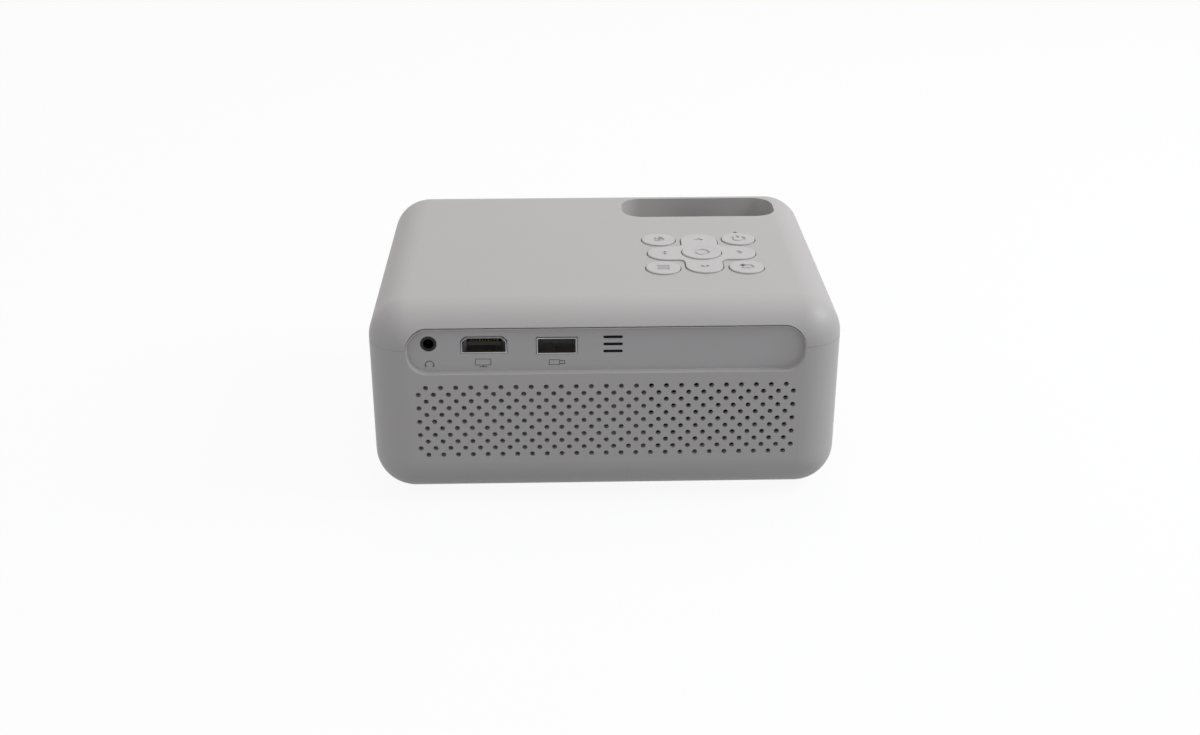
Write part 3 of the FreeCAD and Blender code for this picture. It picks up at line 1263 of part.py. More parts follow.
def disc_tray():
    """The tray with its disc seat, open below for the pickup."""
    middle = "(tray_back + tray_front) / 2"
    plate = box("tray_plate", "0", middle, "tray_bottom", "tray_width", "tray_front - tray_back",
                "tray_top - tray_bottom")
    seat = cylinder("disc_seat", "0", "0", "disc_seat_height", "disc_radius + disc_seat_gap",
                    "tray_top")
    hollow = box("tray_hollow", "0", middle, "tray_bottom - overshoot", "tray_width - 2 * tray_wall",
                 "tray_front - tray_back - 2 * tray_wall", "tray_floor - tray_bottom + overshoot")
    window_box = sled_box("tray_window_box", "window_back", "window_front", "window_width",
                          "tray_bottom - overshoot", "tray_top + overshoot")
    window = gather("tray_window", [window_box])
    return keep("disc_tray", cut("disc_tray", plate, seat, hollow, along_sled(window)))


def eject_room(name, grow, start):
    """The block of the eject button, grown by a gap, from a depth to past the front."""
    return box(name, "eject_x", f"(({start}) + front_face + eject_raise) / 2",
               f"eject_height - eject_tall / 2 - {grow}", f"eject_width + 2 * {grow}",
               f"front_face + eject_raise - ({start})", f"eject_tall + 2 * {grow}")


def tray_bezel():
    """The front strip of the tray, which completes the body's surface."""
    strip = box("bezel_strip", "0", "tray_front + edge_radius / 2", "bezel_bottom", "bezel_width",
                "edge_radius", "bezel_top - bezel_bottom")
    room = eject_room("bezel_pocket", "eject_gap",
                      "front_face + eject_raise - eject_depth - eject_travel - eject_gap")
    return keep("tray_bezel", cut("tray_bezel", common("bezel_shape", strip,
                                                       rounded_block("bezel_limit", "0")), room))


def eject_button():
    """The small button in the bezel that opens the tray."""
    return keep("eject_button", eject_room("eject_button", "0", "front_face + eject_raise - eject_depth"))


def traverse_frame():
    """The frame in the tray that holds the spindle motor, the guide rods and the feed screw."""
    outside = sled_box("traverse_outside", "traverse_back", "traverse_front",
                       "window_width - 2 * window_gap", "traverse_bottom", "traverse_top")
    room = sled_box("traverse_room", "traverse_back + traverse_wall", "traverse_front - traverse_wall",
                    "window_width - 2 * window_gap - 2 * traverse_wall",
                    "traverse_bottom + traverse_floor", "traverse_top + overshoot")
    opening = sled_box("traverse_opening", "crossbar_start + crossbar_width",
                       "traverse_front - traverse_wall",
                       "window_width - 2 * window_gap - 2 * traverse_wall", "traverse_bottom - overshoot",
                       "traverse_top + overshoot")
    bar = sled_box("traverse_bar", "crossbar_start", "crossbar_start + crossbar_width",
                   "window_width - 2 * window_gap - traverse_wall", "traverse_bottom",
                   "rod_height + rod_radius")
    screw_hole = cylinder("traverse_screw_hole", "crossbar_start - overshoot", "feed_screw_offset",
                          "rod_height", "feed_screw_radius + running_gap",
                          "crossbar_width + 2 * overshoot", "X")
    solid = fuse("traverse_solid", cut("traverse_pan", outside, room, opening), bar)
    return keep("traverse_frame", along_sled(cut("traverse_frame", solid, screw_hole)))


def spindle_motor():
    """The flat spindle motor on the traverse frame."""
    base = "traverse_bottom + traverse_floor"
    return keep("spindle_motor", tube("spindle_motor", "0", "0", base, "motor_radius",
                                      "spindle_radius + running_gap", "motor_height"))


def spindle_hub():
    """The turntable, its centring hub and the spindle."""
    base = "traverse_bottom + traverse_floor + motor_height + turntable_gap"
    table = cylinder("turntable", "0", "0", base, "turntable_radius", "turntable_thickness")
    hub = cylinder("hub", "0", "0", base, "hub_radius", "turntable_thickness + hub_height")
    spindle = cylinder("spindle", "0", "0", f"{base} - turntable_gap - spindle_depth", "spindle_radius",
                       "spindle_depth + turntable_gap + turntable_thickness")
    return keep("spindle_hub", fuse("spindle_hub", table, hub, spindle))


def sled_rods(name, radius, back, front):
    """A cylinder on each side of the sled's path."""
    return [cylinder(f"{name}_{index}", back, f"{side} * rod_spread / 2", "rod_height", radius,
                     f"({front}) - ({back})", "X") for index, side in enumerate(("-1", "1"))]


def guide_rods():
    """The two steel rods that the pickup slides on."""
    rods = sled_rods("guide_rod", "rod_radius", "crossbar_start + crossbar_width",
                     "traverse_front - traverse_wall")
    return keep("guide_rods", along_sled(gather("guide_rods", rods)))


def pickup_sled():
    """The laser pickup: a sled bored for the rods, with its round lens on top."""
    low = "rod_height - sled_tall / 2"
    body = sled_box("sled_body", "sled_start - sled_length / 2", "sled_start + sled_length / 2",
                    "sled_width", low, f"{low} + sled_tall")
    eye = cylinder("pickup_lens", "sled_start", "0", f"{low} + sled_tall", "pickup_lens_radius",
                   "pickup_lens_height")
    bores = sled_rods("sled_bore", "rod_radius + running_gap", "crossbar_start", "window_front")
    return keep("pickup_sled", along_sled(cut("pickup_sled", fuse("sled_solid", body, eye), *bores)))


def feed_screw():
    """The screw that drives the sled along its rods."""
    screw = cylinder("feed_screw_shaft", "feed_motor_end + slide_gap", "feed_screw_offset", "rod_height",
                     "feed_screw_radius",
                     "traverse_front - traverse_wall - feed_motor_end - 2 * slide_gap", "X")
    return keep("feed_screw", along_sled(gather("feed_screw", [screw])))


def feed_motor():
    """The small stepper motor at the inner end of the feed screw."""
    motor = cylinder("feed_motor_can", "feed_motor_end - feed_motor_length", "feed_screw_offset",
                     "rod_height", "feed_motor_radius", "feed_motor_length", "X")
    return keep("feed_motor", along_sled(gather("feed_motor", [motor])))


# ---------------------------------------------------------------- assembly

def build():
    """Make every sub-part of the projector."""
    fill_sheet()
    shell = cut("shell", rounded_block("outer_block", "0"), rounded_block("inner_block", "wall"))
    window = panel_window()
    bottom_case(shell, window)
    top_cover(shell, window)
    for make in (port_panel, lens_bezel, rubber_feet, case_screws, tripod_bush, speaker_cloth,
                 ok_button, nav_pad, nav_pivot, keypad_board, keypad_switches, status_light,
                 middle_frame, port_board, main_board, hdmi_socket, usb_socket, headphone_jack,
                 infrared_receiver, power_inlet, small_screws, engine_housing, engine_lid,
                 led_heatsink, led_module, condenser_lens, light_funnel, fold_mirror, lens_mount,
                 focus_ring, lens_barrel, lens_elements, fan_frame, fan_rotor, speaker_frames,
                 speaker_magnets, speaker_cones, drive_chassis, drive_lid, drive_board, tray_rails,
                 disc_tray, tray_bezel, eject_button, traverse_frame, spindle_motor, spindle_hub,
                 guide_rods, pickup_sled, feed_screw, feed_motor):
        make()
    for label, (x, y) in button_places().items():
        key(label, x, y, "button_radius")
    for label, left in engine_plates().items():
        keep(label, engine_plate(label, left))
    DOC.recompute()


def check():
    """Stop if an object failed or a sub-part has no sound shape."""
    for item in DOC.Objects:
        if "Invalid" in item.State or "Error" in item.State:
            raise RuntimeError(f"{item.Name} failed: {item.State}")
    for item in SUBPARTS:
        if item.Shape.isNull() or not item.Shape.isValid():
            raise RuntimeError(f"{item.Label} has no valid shape")


def write():
    """Write each sub-part to its own STEP file."""
    os.makedirs("parts", exist_ok=True)
    for item in SUBPARTS:
        item.Shape.exportStep(os.path.join("parts", item.Label + ".step"))
        print(f"{item.Label}: {len(item.Shape.Solids)} solids, {item.Shape.Volume:.0f} mm3")


build()
check()
write()
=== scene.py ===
import math

import bmesh
import bpy
from mathutils import Matrix, Vector


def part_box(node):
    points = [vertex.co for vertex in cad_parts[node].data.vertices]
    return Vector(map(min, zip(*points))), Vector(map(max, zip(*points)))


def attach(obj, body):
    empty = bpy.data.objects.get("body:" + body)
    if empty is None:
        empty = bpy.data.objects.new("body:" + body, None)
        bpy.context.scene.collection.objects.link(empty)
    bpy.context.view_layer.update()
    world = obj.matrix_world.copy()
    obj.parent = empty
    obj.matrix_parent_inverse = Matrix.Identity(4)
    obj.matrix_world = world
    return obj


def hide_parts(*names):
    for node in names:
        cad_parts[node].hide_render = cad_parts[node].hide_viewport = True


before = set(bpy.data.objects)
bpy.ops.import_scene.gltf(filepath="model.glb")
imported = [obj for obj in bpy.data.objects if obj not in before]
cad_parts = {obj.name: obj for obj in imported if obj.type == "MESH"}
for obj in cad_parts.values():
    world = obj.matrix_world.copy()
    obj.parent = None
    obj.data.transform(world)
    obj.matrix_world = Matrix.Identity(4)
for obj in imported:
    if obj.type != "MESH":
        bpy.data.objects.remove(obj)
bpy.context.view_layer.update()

scene = bpy.context.scene
scene.view_settings.view_transform = "Standard"
MM = 0.001


# ---------------------------------------------------------------- Camera
# A product camera behind the projector and above it, so that the port side and the
# keypad both show.  It is held level, on a lens a little longer than a standard one.
camera_data = bpy.data.cameras.new("camera")
camera_data.sensor_width = 36.0
camera_data.lens = 46.2275
camera_data.clip_start = 0.01
camera = bpy.data.objects.new("camera", camera_data)
scene.collection.objects.link(camera)
camera_place = Vector((-0.01488, -0.53292, 0.26887))
sight = Vector((0.02459, 0.90662, -0.42124)).normalized()
across = sight.cross(Vector((0, 0, 1))).normalized()
camera_turn = Matrix((across, across.cross(sight), -sight)).transposed().to_4x4()
camera.matrix_world = Matrix.Translation(camera_place) @ camera_turn
scene.camera = camera


# ---------------------------------------------------------------- Studio
# A wide sheet of white paper, a softbox high on the right, a weak warm one above the front
# and a white room all round.  The paper is seen as white and throws back a dimmer light.
def node(material, kind, plugs, **settings):
    """Adds one shader node, sets its properties, and plugs or sets its inputs."""
    made = material.node_tree.nodes.new("ShaderNode" + kind)
    for key, value in settings.items():
        setattr(made, key, value)
    for key, value in plugs.items():
        socket = made.inputs[key]
        if isinstance(value, bpy.types.NodeSocket):
            material.node_tree.links.new(value, socket)
        else:
            socket.default_value = value
    return made


def seen_ray(item):
    """1 where the camera looks, straight or through a mirror or a glass, and 0 for light."""
    ray = node(item, "LightPath", {}).outputs
    either = node(item, "Math", {0: ray["Is Camera Ray"], 1: ray["Is Glossy Ray"]},
                  operation="MAXIMUM").outputs[0]
    return node(item, "Math", {0: either, 1: ray["Is Transmission Ray"]},
                operation="MAXIMUM").outputs[0]


PAPER_HALF = 4.0
PAPER_SEEN = (1.0, 1.0, 1.0, 1)
PAPER_BOUNCE = (0.35, 0.355, 0.365, 1)
PAPER_GLOW = 0.92
paper = bpy.data.materials.new("white_paper")
paper.use_nodes = True
paper.node_tree.nodes.clear()
seen = seen_ray(paper)
paper_place = node(paper, "TexCoord", {}).outputs["Object"]
fibre = node(paper, "TexNoise", {"Vector": paper_place, "Scale": 900.0}).outputs["Fac"]
fibre_bump = node(paper, "Bump", {"Height": fibre, "Distance": 0.00002}).outputs["Normal"]
lit = node(paper, "BsdfDiffuse", {"Color": PAPER_SEEN, "Normal": fibre_bump}).outputs[0]
glow = node(paper, "Emission", {"Color": PAPER_SEEN, "Strength": 1.0}).outputs[0]
shown = node(paper, "MixShader", {0: PAPER_GLOW, 1: lit, 2: glow}).outputs[0]
thrown = node(paper, "BsdfDiffuse", {"Color": PAPER_BOUNCE}).outputs[0]
paper_mix = node(paper, "MixShader", {0: seen, 1: thrown, 2: shown}).outputs[0]
node(paper, "OutputMaterial", {"Surface": paper_mix})

bm = bmesh.new()
bmesh.ops.create_grid(bm, x_segments=8, y_segments=8, size=PAPER_HALF)
bmesh.ops.translate(bm, vec=(0, 0, -0.02 * MM), verts=bm.verts)
floor_mesh = bpy.data.meshes.new("floor")
bm.to_mesh(floor_mesh)
bm.free()
floor_mesh.materials.append(paper)
floor = bpy.data.objects.new("floor", floor_mesh)
scene.collection.objects.link(floor)

SKY_LIGHT = (0.95, 0.975, 1.0, 1)
SKY_STRENGTH = 0.55
world = bpy.data.worlds.new("studio")
scene.world = world
world.use_nodes = True
world.node_tree.nodes.clear()
sky = node(world, "Background", {"Color": SKY_LIGHT, "Strength": SKY_STRENGTH}).outputs[0]
backdrop = node(world, "Background", {"Color": PAPER_SEEN, "Strength": 1.0}).outputs[0]
world_mix = node(world, "MixShader", {0: seen_ray(world), 1: sky, 2: backdrop}).outputs[0]
node(world, "OutputWorld", {"Surface": world_mix})


def softbox(name, place, aim, width, height, power, colour):
    """A flat lamp that faces a point."""
    data = bpy.data.lights.new(name, "AREA")
    data.shape = "RECTANGLE"
    data.size, data.size_y, data.energy, data.color = width, height, power, colour
    lamp = bpy.data.objects.new(name, data)
    scene.collection.objects.link(lamp)
    lamp.location = place
    lamp.rotation_mode = "QUATERNION"
    lamp.rotation_quaternion = (Vector(aim) - Vector(place)).to_track_quat("-Z", "Y")


softbox("right_softbox", (0.84, -0.06, 0.70), (0, 0, 0.05), 0.45, 0.45, 5.0, (0.93, 0.965, 1.0))
softbox("warm_fill", (0.0, 0.45, 1.05), (0, 0, 0.05), 0.7, 0.7, 1.3, (1.0, 0.84, 0.70))


# ---------------------------------------------------------------- Top cover and bottom case
# Two injection-moulded shells in warm light grey ABS, with a fine spark-eroded grain and soft
# round edges, screwed together from below.  Where they meet, from the port window to the lens
# on either side, a thin dark bar of painted shadow stands in for the shade of a parting line.
def coloured(colour, share):
    """A colour made lighter or darker by a share."""
    return tuple(min(1.0, part * (1 + share)) for part in colour) + (1,)


def moulded(name, colour, roughness, grain=0.0003, depth=0.000010, mottle=0.02, wear=0.10,
            rounding=0.00022):
    """A moulded plastic or rubber: eroded grain, slow shifts of shade, and edges rubbed pale."""
    material = bpy.data.materials.new(name)
    material.use_nodes = True
    shader = material.node_tree.nodes["Principled BSDF"]
    place = node(material, "TexCoord", {}).outputs["Object"]
    cloud = node(material, "TexNoise", {"Vector": place, "Scale": 28.0, "Detail": 3.0})
    speckle = node(material, "TexNoise", {"Vector": place, "Scale": 1 / grain, "Detail": 2.0})
    shade = node(material, "MixRGB", {
        "Fac": cloud.outputs["Fac"], "Color1": coloured(colour, -mottle),
        "Color2": coloured(colour, mottle)}).outputs[0]
    rounded = node(material, "Bevel", {"Radius": rounding}, samples=4).outputs["Normal"]
    flat = node(material, "NewGeometry", {}).outputs["Normal"]
    facing = node(material, "VectorMath", {0: rounded, 1: flat}, operation="DOT_PRODUCT")
    edge = node(material, "MapRange", {
        "Value": facing.outputs["Value"], "From Min": 1.0, "From Max": 0.85,
        "To Min": 0.0, "To Max": wear}).outputs[0]
    rubbed = node(material, "MixRGB", {
        "Fac": edge, "Color1": shade, "Color2": coloured(colour, 0.5)}).outputs[0]
    gloss = node(material, "MapRange", {
        "Value": speckle.outputs["Fac"], "From Min": 0.3, "From Max": 0.7,
        "To Min": roughness - 0.05, "To Max": roughness + 0.05}).outputs[0]
    bump = node(material, "Bump", {
        "Height": speckle.outputs["Fac"], "Distance": depth, "Normal": rounded}).outputs[0]
    material.node_tree.links.new(rubbed, shader.inputs["Base Color"])
    material.node_tree.links.new(gloss, shader.inputs["Roughness"])
    material.node_tree.links.new(bump, shader.inputs["Normal"])
    return material


def dress(material, *parts):
    """Gives these CAD parts this finish."""
    for part in parts:
        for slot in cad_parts[part].material_slots:
            slot.material = material


SHELL_GREY = (0.505, 0.482, 0.476)
shell_plastic = moulded("grained_grey_abs", SHELL_GREY, 0.48)
dress(shell_plastic, "top_cover", "bottom_case")


def drawn_line(points, pen, closed=False):
    """A temporary round bar that follows the points, as a mesh with capped ends."""
    curve = bpy.data.curves.new("line", "CURVE")
    curve.dimensions = "3D"
    curve.bevel_depth = pen
    curve.bevel_resolution = 3
    curve.use_fill_caps = True
    spline = curve.splines.new("POLY")
    spline.points.add(len(points) - 1)
    for spot, point in zip(spline.points, points):
        spot.co = (*point, 1)
    spline.use_cyclic_u = closed
    holder = bpy.data.objects.new("line", curve)
    mesh = bpy.data.meshes.new_from_object(holder)
    bpy.data.objects.remove(holder)
    bpy.data.curves.remove(curve)
    return mesh


def arc(centre, radius, start, end, steps=16):
    """Points on an arc in a flat drawing, from one angle to another in degrees."""
    angles = [math.radians(start + (end - start) * step / steps) for step in range(steps + 1)]
    return [(centre[0] + radius * math.cos(a), centre[1] + radius * math.sin(a)) for a in angles]


def fit(name, bm, material, body, smooth_below=35):
    """Finishes a modelled piece: sharp edges kept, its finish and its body."""
    mesh = bpy.data.meshes.new(name)
    bm.to_mesh(mesh)
    bm.free()
    mesh.polygons.foreach_set("use_smooth", [True] * len(mesh.polygons))
    mesh.set_sharp_from_angle(angle=math.radians(smooth_below))
    mesh.materials.append(material)
    piece = bpy.data.objects.new(name, mesh)
    scene.collection.objects.link(piece)
    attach(piece, body)
    return piece


SEAM_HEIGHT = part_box("bottom_case")[1].z
SEAM_PEN = 0.03 * MM
SEAM_SINK = 0.02 * MM
CASE_CORNER = 14.2 * MM
WINDOW_END = 3.5    # degrees into the rear corners, where the line meets the port window
LENS_LEFT, LENS_RIGHT = 27.5 * MM, 50.1 * MM
case_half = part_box("bottom_case")[1]
seam_x, seam_y = case_half.x - CASE_CORNER, case_half.y - CASE_CORNER
seam_radius = CASE_CORNER - SEAM_SINK
seam_front = case_half.y - SEAM_SINK
right_seam = (arc((seam_x, -seam_y), seam_radius, 270 + WINDOW_END, 360)
              + arc((seam_x, seam_y), seam_radius, 0, 90) + [(LENS_RIGHT, seam_front)])
left_seam = ([(LENS_LEFT, seam_front)] + arc((-seam_x, seam_y), seam_radius, 90, 180)
             + arc((-seam_x, -seam_y), seam_radius, 180, 270 - WINDOW_END))
# Painted shadow: the shells meet flush, and this thin dark bar stands in for the shade in a seam
# gap.
seam_painted_shadow = moulded("seam_painted_shadow", (0.17, 0.162, 0.160), 0.7, mottle=0.0, wear=0.0)
bm = bmesh.new()
for seam in (right_seam, left_seam):
    bm.from_mesh(drawn_line([(x, y, SEAM_HEIGHT) for x, y in seam], SEAM_PEN))
bmesh.ops.recalc_face_normals(bm, faces=bm.faces)
fit("painted_parting_shadow", bm, seam_painted_shadow, "housing")


# ---------------------------------------------------------------- Port panel
# A separate strip of the same grey, moulded smoother and slightly cooler, set back in a window
# in both shells, whose edge turns inwards in a small rounded lip.  The marks under the ports are
# pad-printed in dark grey ink.
PANEL_GREY = (0.500, 0.482, 0.480)
panel_plastic = moulded("satin_grey_abs", PANEL_GREY, 0.42, grain=0.0002, depth=0.000006)
dress(panel_plastic, "port_panel")

INK_PEN = 0.17 * MM
INK_RISE = 0.02 * MM
MARK_HEIGHT = 51.9 * MM
HEADPHONE_X, SCREEN_X, STICK_X = -59.4 * MM, -41.4 * MM, -16.6 * MM
headphone_mark = [
    (arc((0, -0.6), 1.5, 180, 0), False),
    ([(-1.5, -0.6), (-1.35, -1.3)], False),
    ([(-1.3, -0.5), (-1.15, -1.2)], False),
    ([(1.5, -0.6), (1.35, -1.3)], False),
    ([(1.3, -0.5), (1.15, -1.2)], False),
]
screen_mark = [
    ([(-2.6, -0.75), (-2.6, 1.45), (2.6, 1.45), (2.6, -0.75)], True),
    ([(0, -0.75), (0, -1.35)], False),
    ([(-1.3, -1.4), (1.3, -1.4)], False),
]
stick_mark = [
    ([(-2.6, -0.9), (-2.6, 0.9), (0.9, 0.9), (0.9, -0.9)], True),
    ([(1.0, -0.55), (2.6, -0.55), (2.6, 0.55), (1.0, 0.55)], False),
]
ink = moulded("dark_grey_ink", (0.115, 0.113, 0.115), 0.55, grain=0.00015, depth=0.000003,
              mottle=0.08, wear=0.0)
panel_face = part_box("hdmi_socket")[0].y
bm = bmesh.new()
for mark, mark_x in ((headphone_mark, HEADPHONE_X), (screen_mark, SCREEN_X), (stick_mark, STICK_X)):
    for points, closed in mark:
        spots = [(mark_x + x * MM, 0.0, MARK_HEIGHT + z * MM) for x, z in points]
        bm.from_mesh(drawn_line(spots, INK_PEN, closed))
bmesh.ops.scale(bm, vec=(1, INK_RISE / INK_PEN, 1), verts=bm.verts)
bmesh.ops.translate(bm, vec=(0, panel_face, 0), verts=bm.verts)
bmesh.ops.recalc_face_normals(bm, faces=bm.faces)
fit("port_marks", bm, ink, "housing")

LIP_WIDTH = 0.3 * MM
SHADOW_GAP = 0.35 * MM
LIP_SINK = 0.02 * MM
ROUND_STEPS = 4
FAR_BACK = 1.0
WINDOW_WIDTH, WINDOW_HEIGHT, WINDOW_CENTRE = 134.0 * MM, 16.2 * MM, 56.8 * MM
LIP_TALL, LIP_CENTRE = WINDOW_HEIGHT - SHADOW_GAP, WINDOW_CENTRE - SHADOW_GAP / 2
WINDOW_CORNER = 7.1 * MM
BODY_EDGE = 13.7 * MM
case_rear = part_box("bottom_case")[0].y
edge_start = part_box("top_cover")[1].z - BODY_EDGE


def rear_surface(z):
    """Where the rear face lies at a height: upright below, then round into the top."""
    rise = max(0.0, z - edge_start)
    return case_rear + BODY_EDGE - math.sqrt(BODY_EDGE ** 2 - rise ** 2) + LIP_SINK


def rounded_lip(name, outline, width, surface, back, material):
    """A ring inside an opening, whose outer edge turns inwards in a quarter round."""
    bm = bmesh.new()
    face = bm.faces.new([bm.verts.new((x, 0, z)) for x, z in outline])
    face.normal_update()
    reached = 0.0
    for step in range(1, ROUND_STEPS + 1):
        angle = math.radians(90 * step / ROUND_STEPS)
        bmesh.ops.inset_region(bm, faces=[face], thickness=width * math.sin(angle) - reached,
                               use_boundary=True, use_even_offset=True)
        reached = width * math.sin(angle)
        for vert in face.verts:
            vert.co.y = width * (1 - math.cos(angle))
    inner_wall = bmesh.ops.extrude_face_region(bm, geom=[face])["geom"]
    rim = [edge for edge in bm.edges if edge.is_boundary]
    outer_wall = bmesh.ops.extrude_edge_only(bm, edges=rim)["geom"]
    for item in inner_wall + outer_wall:
        if isinstance(item, bmesh.types.BMVert):
            item.co.y = FAR_BACK
    lids = [item for item in inner_wall if isinstance(item, bmesh.types.BMFace)]
    bmesh.ops.delete(bm, geom=[face] + lids, context="FACES_ONLY")
    bmesh.ops.bridge_loops(bm, edges=[edge for edge in bm.edges if edge.is_boundary])
    for vert in bm.verts:
        vert.co.y = back if vert.co.y == FAR_BACK else surface(vert.co.z) + vert.co.y
    bmesh.ops.recalc_face_normals(bm, faces=bm.faces)
    if bm.calc_volume(signed=True) < 0:
        bmesh.ops.reverse_faces(bm, faces=bm.faces)
    return fit(name, bm, material, "housing", smooth_below=50)


window_outline = []
for side_x, side_z, start in ((1, 1, 0), (-1, 1, 90), (-1, -1, 180), (1, -1, 270)):
    corner = (side_x * (WINDOW_WIDTH / 2 - WINDOW_CORNER),
              LIP_CENTRE + side_z * (LIP_TALL / 2 - WINDOW_CORNER))
    window_outline += arc(corner, WINDOW_CORNER, start, start + 90)
lip_plastic = moulded("lip_grey_abs", SHELL_GREY, 0.48, rounding=0.00001, wear=0.0)
rounded_lip("port_window_lip", window_outline, LIP_WIDTH, rear_surface, panel_face - LIP_SINK,
            lip_plastic)


# ---------------------------------------------------------------- Speaker cloth
# A strip of brown-grey woven cloth behind the left three fifths of the grille, glued flat to
# the inside of the case so that dust stays out of the loudspeakers.
THREAD = 0.45 * MM
WAVE_TURNS = math.tau / 20 / THREAD
CLOTH_CELL = 1.4 * MM
cloth = bpy.data.materials.new("woven_speaker_cloth")
cloth.use_nodes = True
cloth_place = node(cloth, "TexCoord", {}).outputs["Object"]
warp = node(cloth, "TexWave", {"Vector": cloth_place, "Scale": WAVE_TURNS, "Distortion": 0.4},
            bands_direction="X").outputs["Fac"]
weft = node(cloth, "TexWave", {"Vector": cloth_place, "Scale": WAVE_TURNS, "Distortion": 0.4},
            bands_direction="Z").outputs["Fac"]
thread = node(cloth, "Math", {0: warp, 1: weft}, operation="MAXIMUM").outputs[0]
slub = node(cloth, "TexNoise", {"Vector": cloth_place, "Scale": 700.0}).outputs["Fac"]
thread_shade = node(cloth, "MixRGB", {
    "Fac": thread, "Color1": (0.10, 0.090, 0.082, 1), "Color2": (0.32, 0.295, 0.27, 1)}).outputs[0]
cloth_shade = node(cloth, "MixRGB", {
    "Fac": slub, "Color1": thread_shade, "Color2": (0.38, 0.35, 0.32, 1)}).outputs[0]
cloth_bump = node(cloth, "Bump", {"Height": thread, "Distance": 0.0001}).outputs[0]
cloth_shader = cloth.node_tree.nodes["Principled BSDF"]
cloth_shader.inputs["Roughness"].default_value = 0.92
cloth_shader.inputs["Sheen Weight"].default_value = 0.3
cloth.node_tree.links.new(cloth_shade, cloth_shader.inputs["Base Color"])
cloth.node_tree.links.new(cloth_bump, cloth_shader.inputs["Normal"])

cloth_low, cloth_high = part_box("speaker_cloth")
cloth_size = cloth_high - cloth_low
cloth_middle = (cloth_low + cloth_high) / 2
bm = bmesh.new()
bmesh.ops.create_grid(bm, x_segments=round(cloth_size.x / CLOTH_CELL),
                      y_segments=round(cloth_size.z / CLOTH_CELL), size=0.5)
bmesh.ops.scale(bm, vec=(cloth_size.x, cloth_size.z, 1), verts=bm.verts)
bmesh.ops.rotate(bm, cent=(0, 0, 0), matrix=Matrix.Rotation(math.pi / 2, 3, "X"), verts=bm.verts)
bmesh.ops.translate(bm, vec=cloth_middle, verts=bm.verts)
speaker_weave = fit("woven_cloth", bm, cloth, "housing")
thickness = speaker_weave.modifiers.new("thickness", "SOLIDIFY")
thickness.thickness = cloth_size.y * 0.8
thickness.offset = 0
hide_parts("speaker_cloth")


# ---------------------------------------------------------------- Keys
# Four round keys, a cross-shaped navigation pad and a dished centre key, moulded a little
# lighter and smoother than the cover, each with its sign cut in as a round-bottomed groove.
key_plastic = moulded("smooth_grey_abs", (0.565, 0.545, 0.539), 0.40, grain=0.0002,
                      depth=0.000006)
GROOVE_PEN = 0.50 * MM
ARROW_PEN = 0.64 * MM
DISH_RADIUS = 6.6 * MM
DISH_DEPTH = 0.32 * MM
DISH_STEPS = 10


def carved(name, part, cutter, material, body):
    """A copy of a CAD part with the cutter's shape taken out of it."""
    bm = bmesh.new()
    bm.from_mesh(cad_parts[part].data)
    bmesh.ops.remove_doubles(bm, verts=bm.verts, dist=1e-7)
    piece = fit(name, bm, material, body)
    if "custom_normal" in piece.data.attributes:
        piece.data.attributes.remove(piece.data.attributes["custom_normal"])
    tool_mesh = bpy.data.meshes.new("cutter")
    cutter.to_mesh(tool_mesh)
    cutter.free()
    tool = bpy.data.objects.new("cutter", tool_mesh)
    scene.collection.objects.link(tool)
    cut = piece.modifiers.new("cut", "BOOLEAN")
    cut.object, cut.operation, cut.solver, cut.use_self = tool, "DIFFERENCE", "EXACT", True
    bpy.context.view_layer.update()
    shaped = bpy.data.meshes.new_from_object(piece.evaluated_get(
        bpy.context.evaluated_depsgraph_get()))
    piece.modifiers.clear()
    piece.data = shaped
    bpy.data.objects.remove(tool)
    shaped.set_sharp_from_angle(angle=math.radians(30))
    evened = piece.modifiers.new("evened", "WEIGHTED_NORMAL")
    evened.keep_sharp = True
    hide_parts(part)
    return piece


def sign_cutter(part, lines, sink=0.0, pen=GROOVE_PEN):
    """Round bars along a sign's lines, half sunk in a key's top face or in its dish."""
    low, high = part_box(part)
    middle = (low + high) / 2
    cutter = bmesh.new()
    for points, closed in lines:
        spots = [(middle.x + x * MM, middle.y + y * MM, high.z - sink) for x, y in points]
        cutter.from_mesh(drawn_line(spots, pen, closed))
    bmesh.ops.recalc_face_normals(cutter, faces=cutter.faces)
    return cutter


SIGNS = {
    "source_button": [(arc((0, 0), 1.7, 60, -240), False),
                      ([(-0.1, 1.0), (0.95, 1.55), (0.5, 2.6)], False),
                      (arc((0, 0), 0.45, 0, 324, 9), True)],
    "power_button": [(arc((0, 0), 2.3, 130, 410, 24), False), ([(0, 3.0), (0, 0.9)], False)],
    "menu_button": [([(-2.1, y), (2.1, y)], False) for y in (-1.6, 0, 1.6)],
    "back_button": [([(-2.1, 1.3), (0.9, 1.3)] + arc((0.9, 0), 1.3, 90, -90, 10) + [(-2.1, -1.3)],
                     False),
                    ([(-1.0, 2.4), (-2.2, 1.3), (-1.0, 0.2)], False)],
    "nav_pad": [([(-1.35, 12.9), (0, 14.3), (1.35, 12.9)], False),
                ([(-1.35, -12.9), (0, -14.3), (1.35, -12.9)], False),
                ([(-12.9, -1.35), (-14.3, 0), (-12.9, 1.35)], False),
                ([(12.9, -1.35), (14.3, 0), (12.9, 1.35)], False)],
}
for key_name, sign in SIGNS.items():
    pen = ARROW_PEN if key_name == "nav_pad" else GROOVE_PEN
    carved(key_name.replace("button", "key") + "_cap", key_name,
           sign_cutter(key_name, sign, pen=pen), key_plastic, key_name)

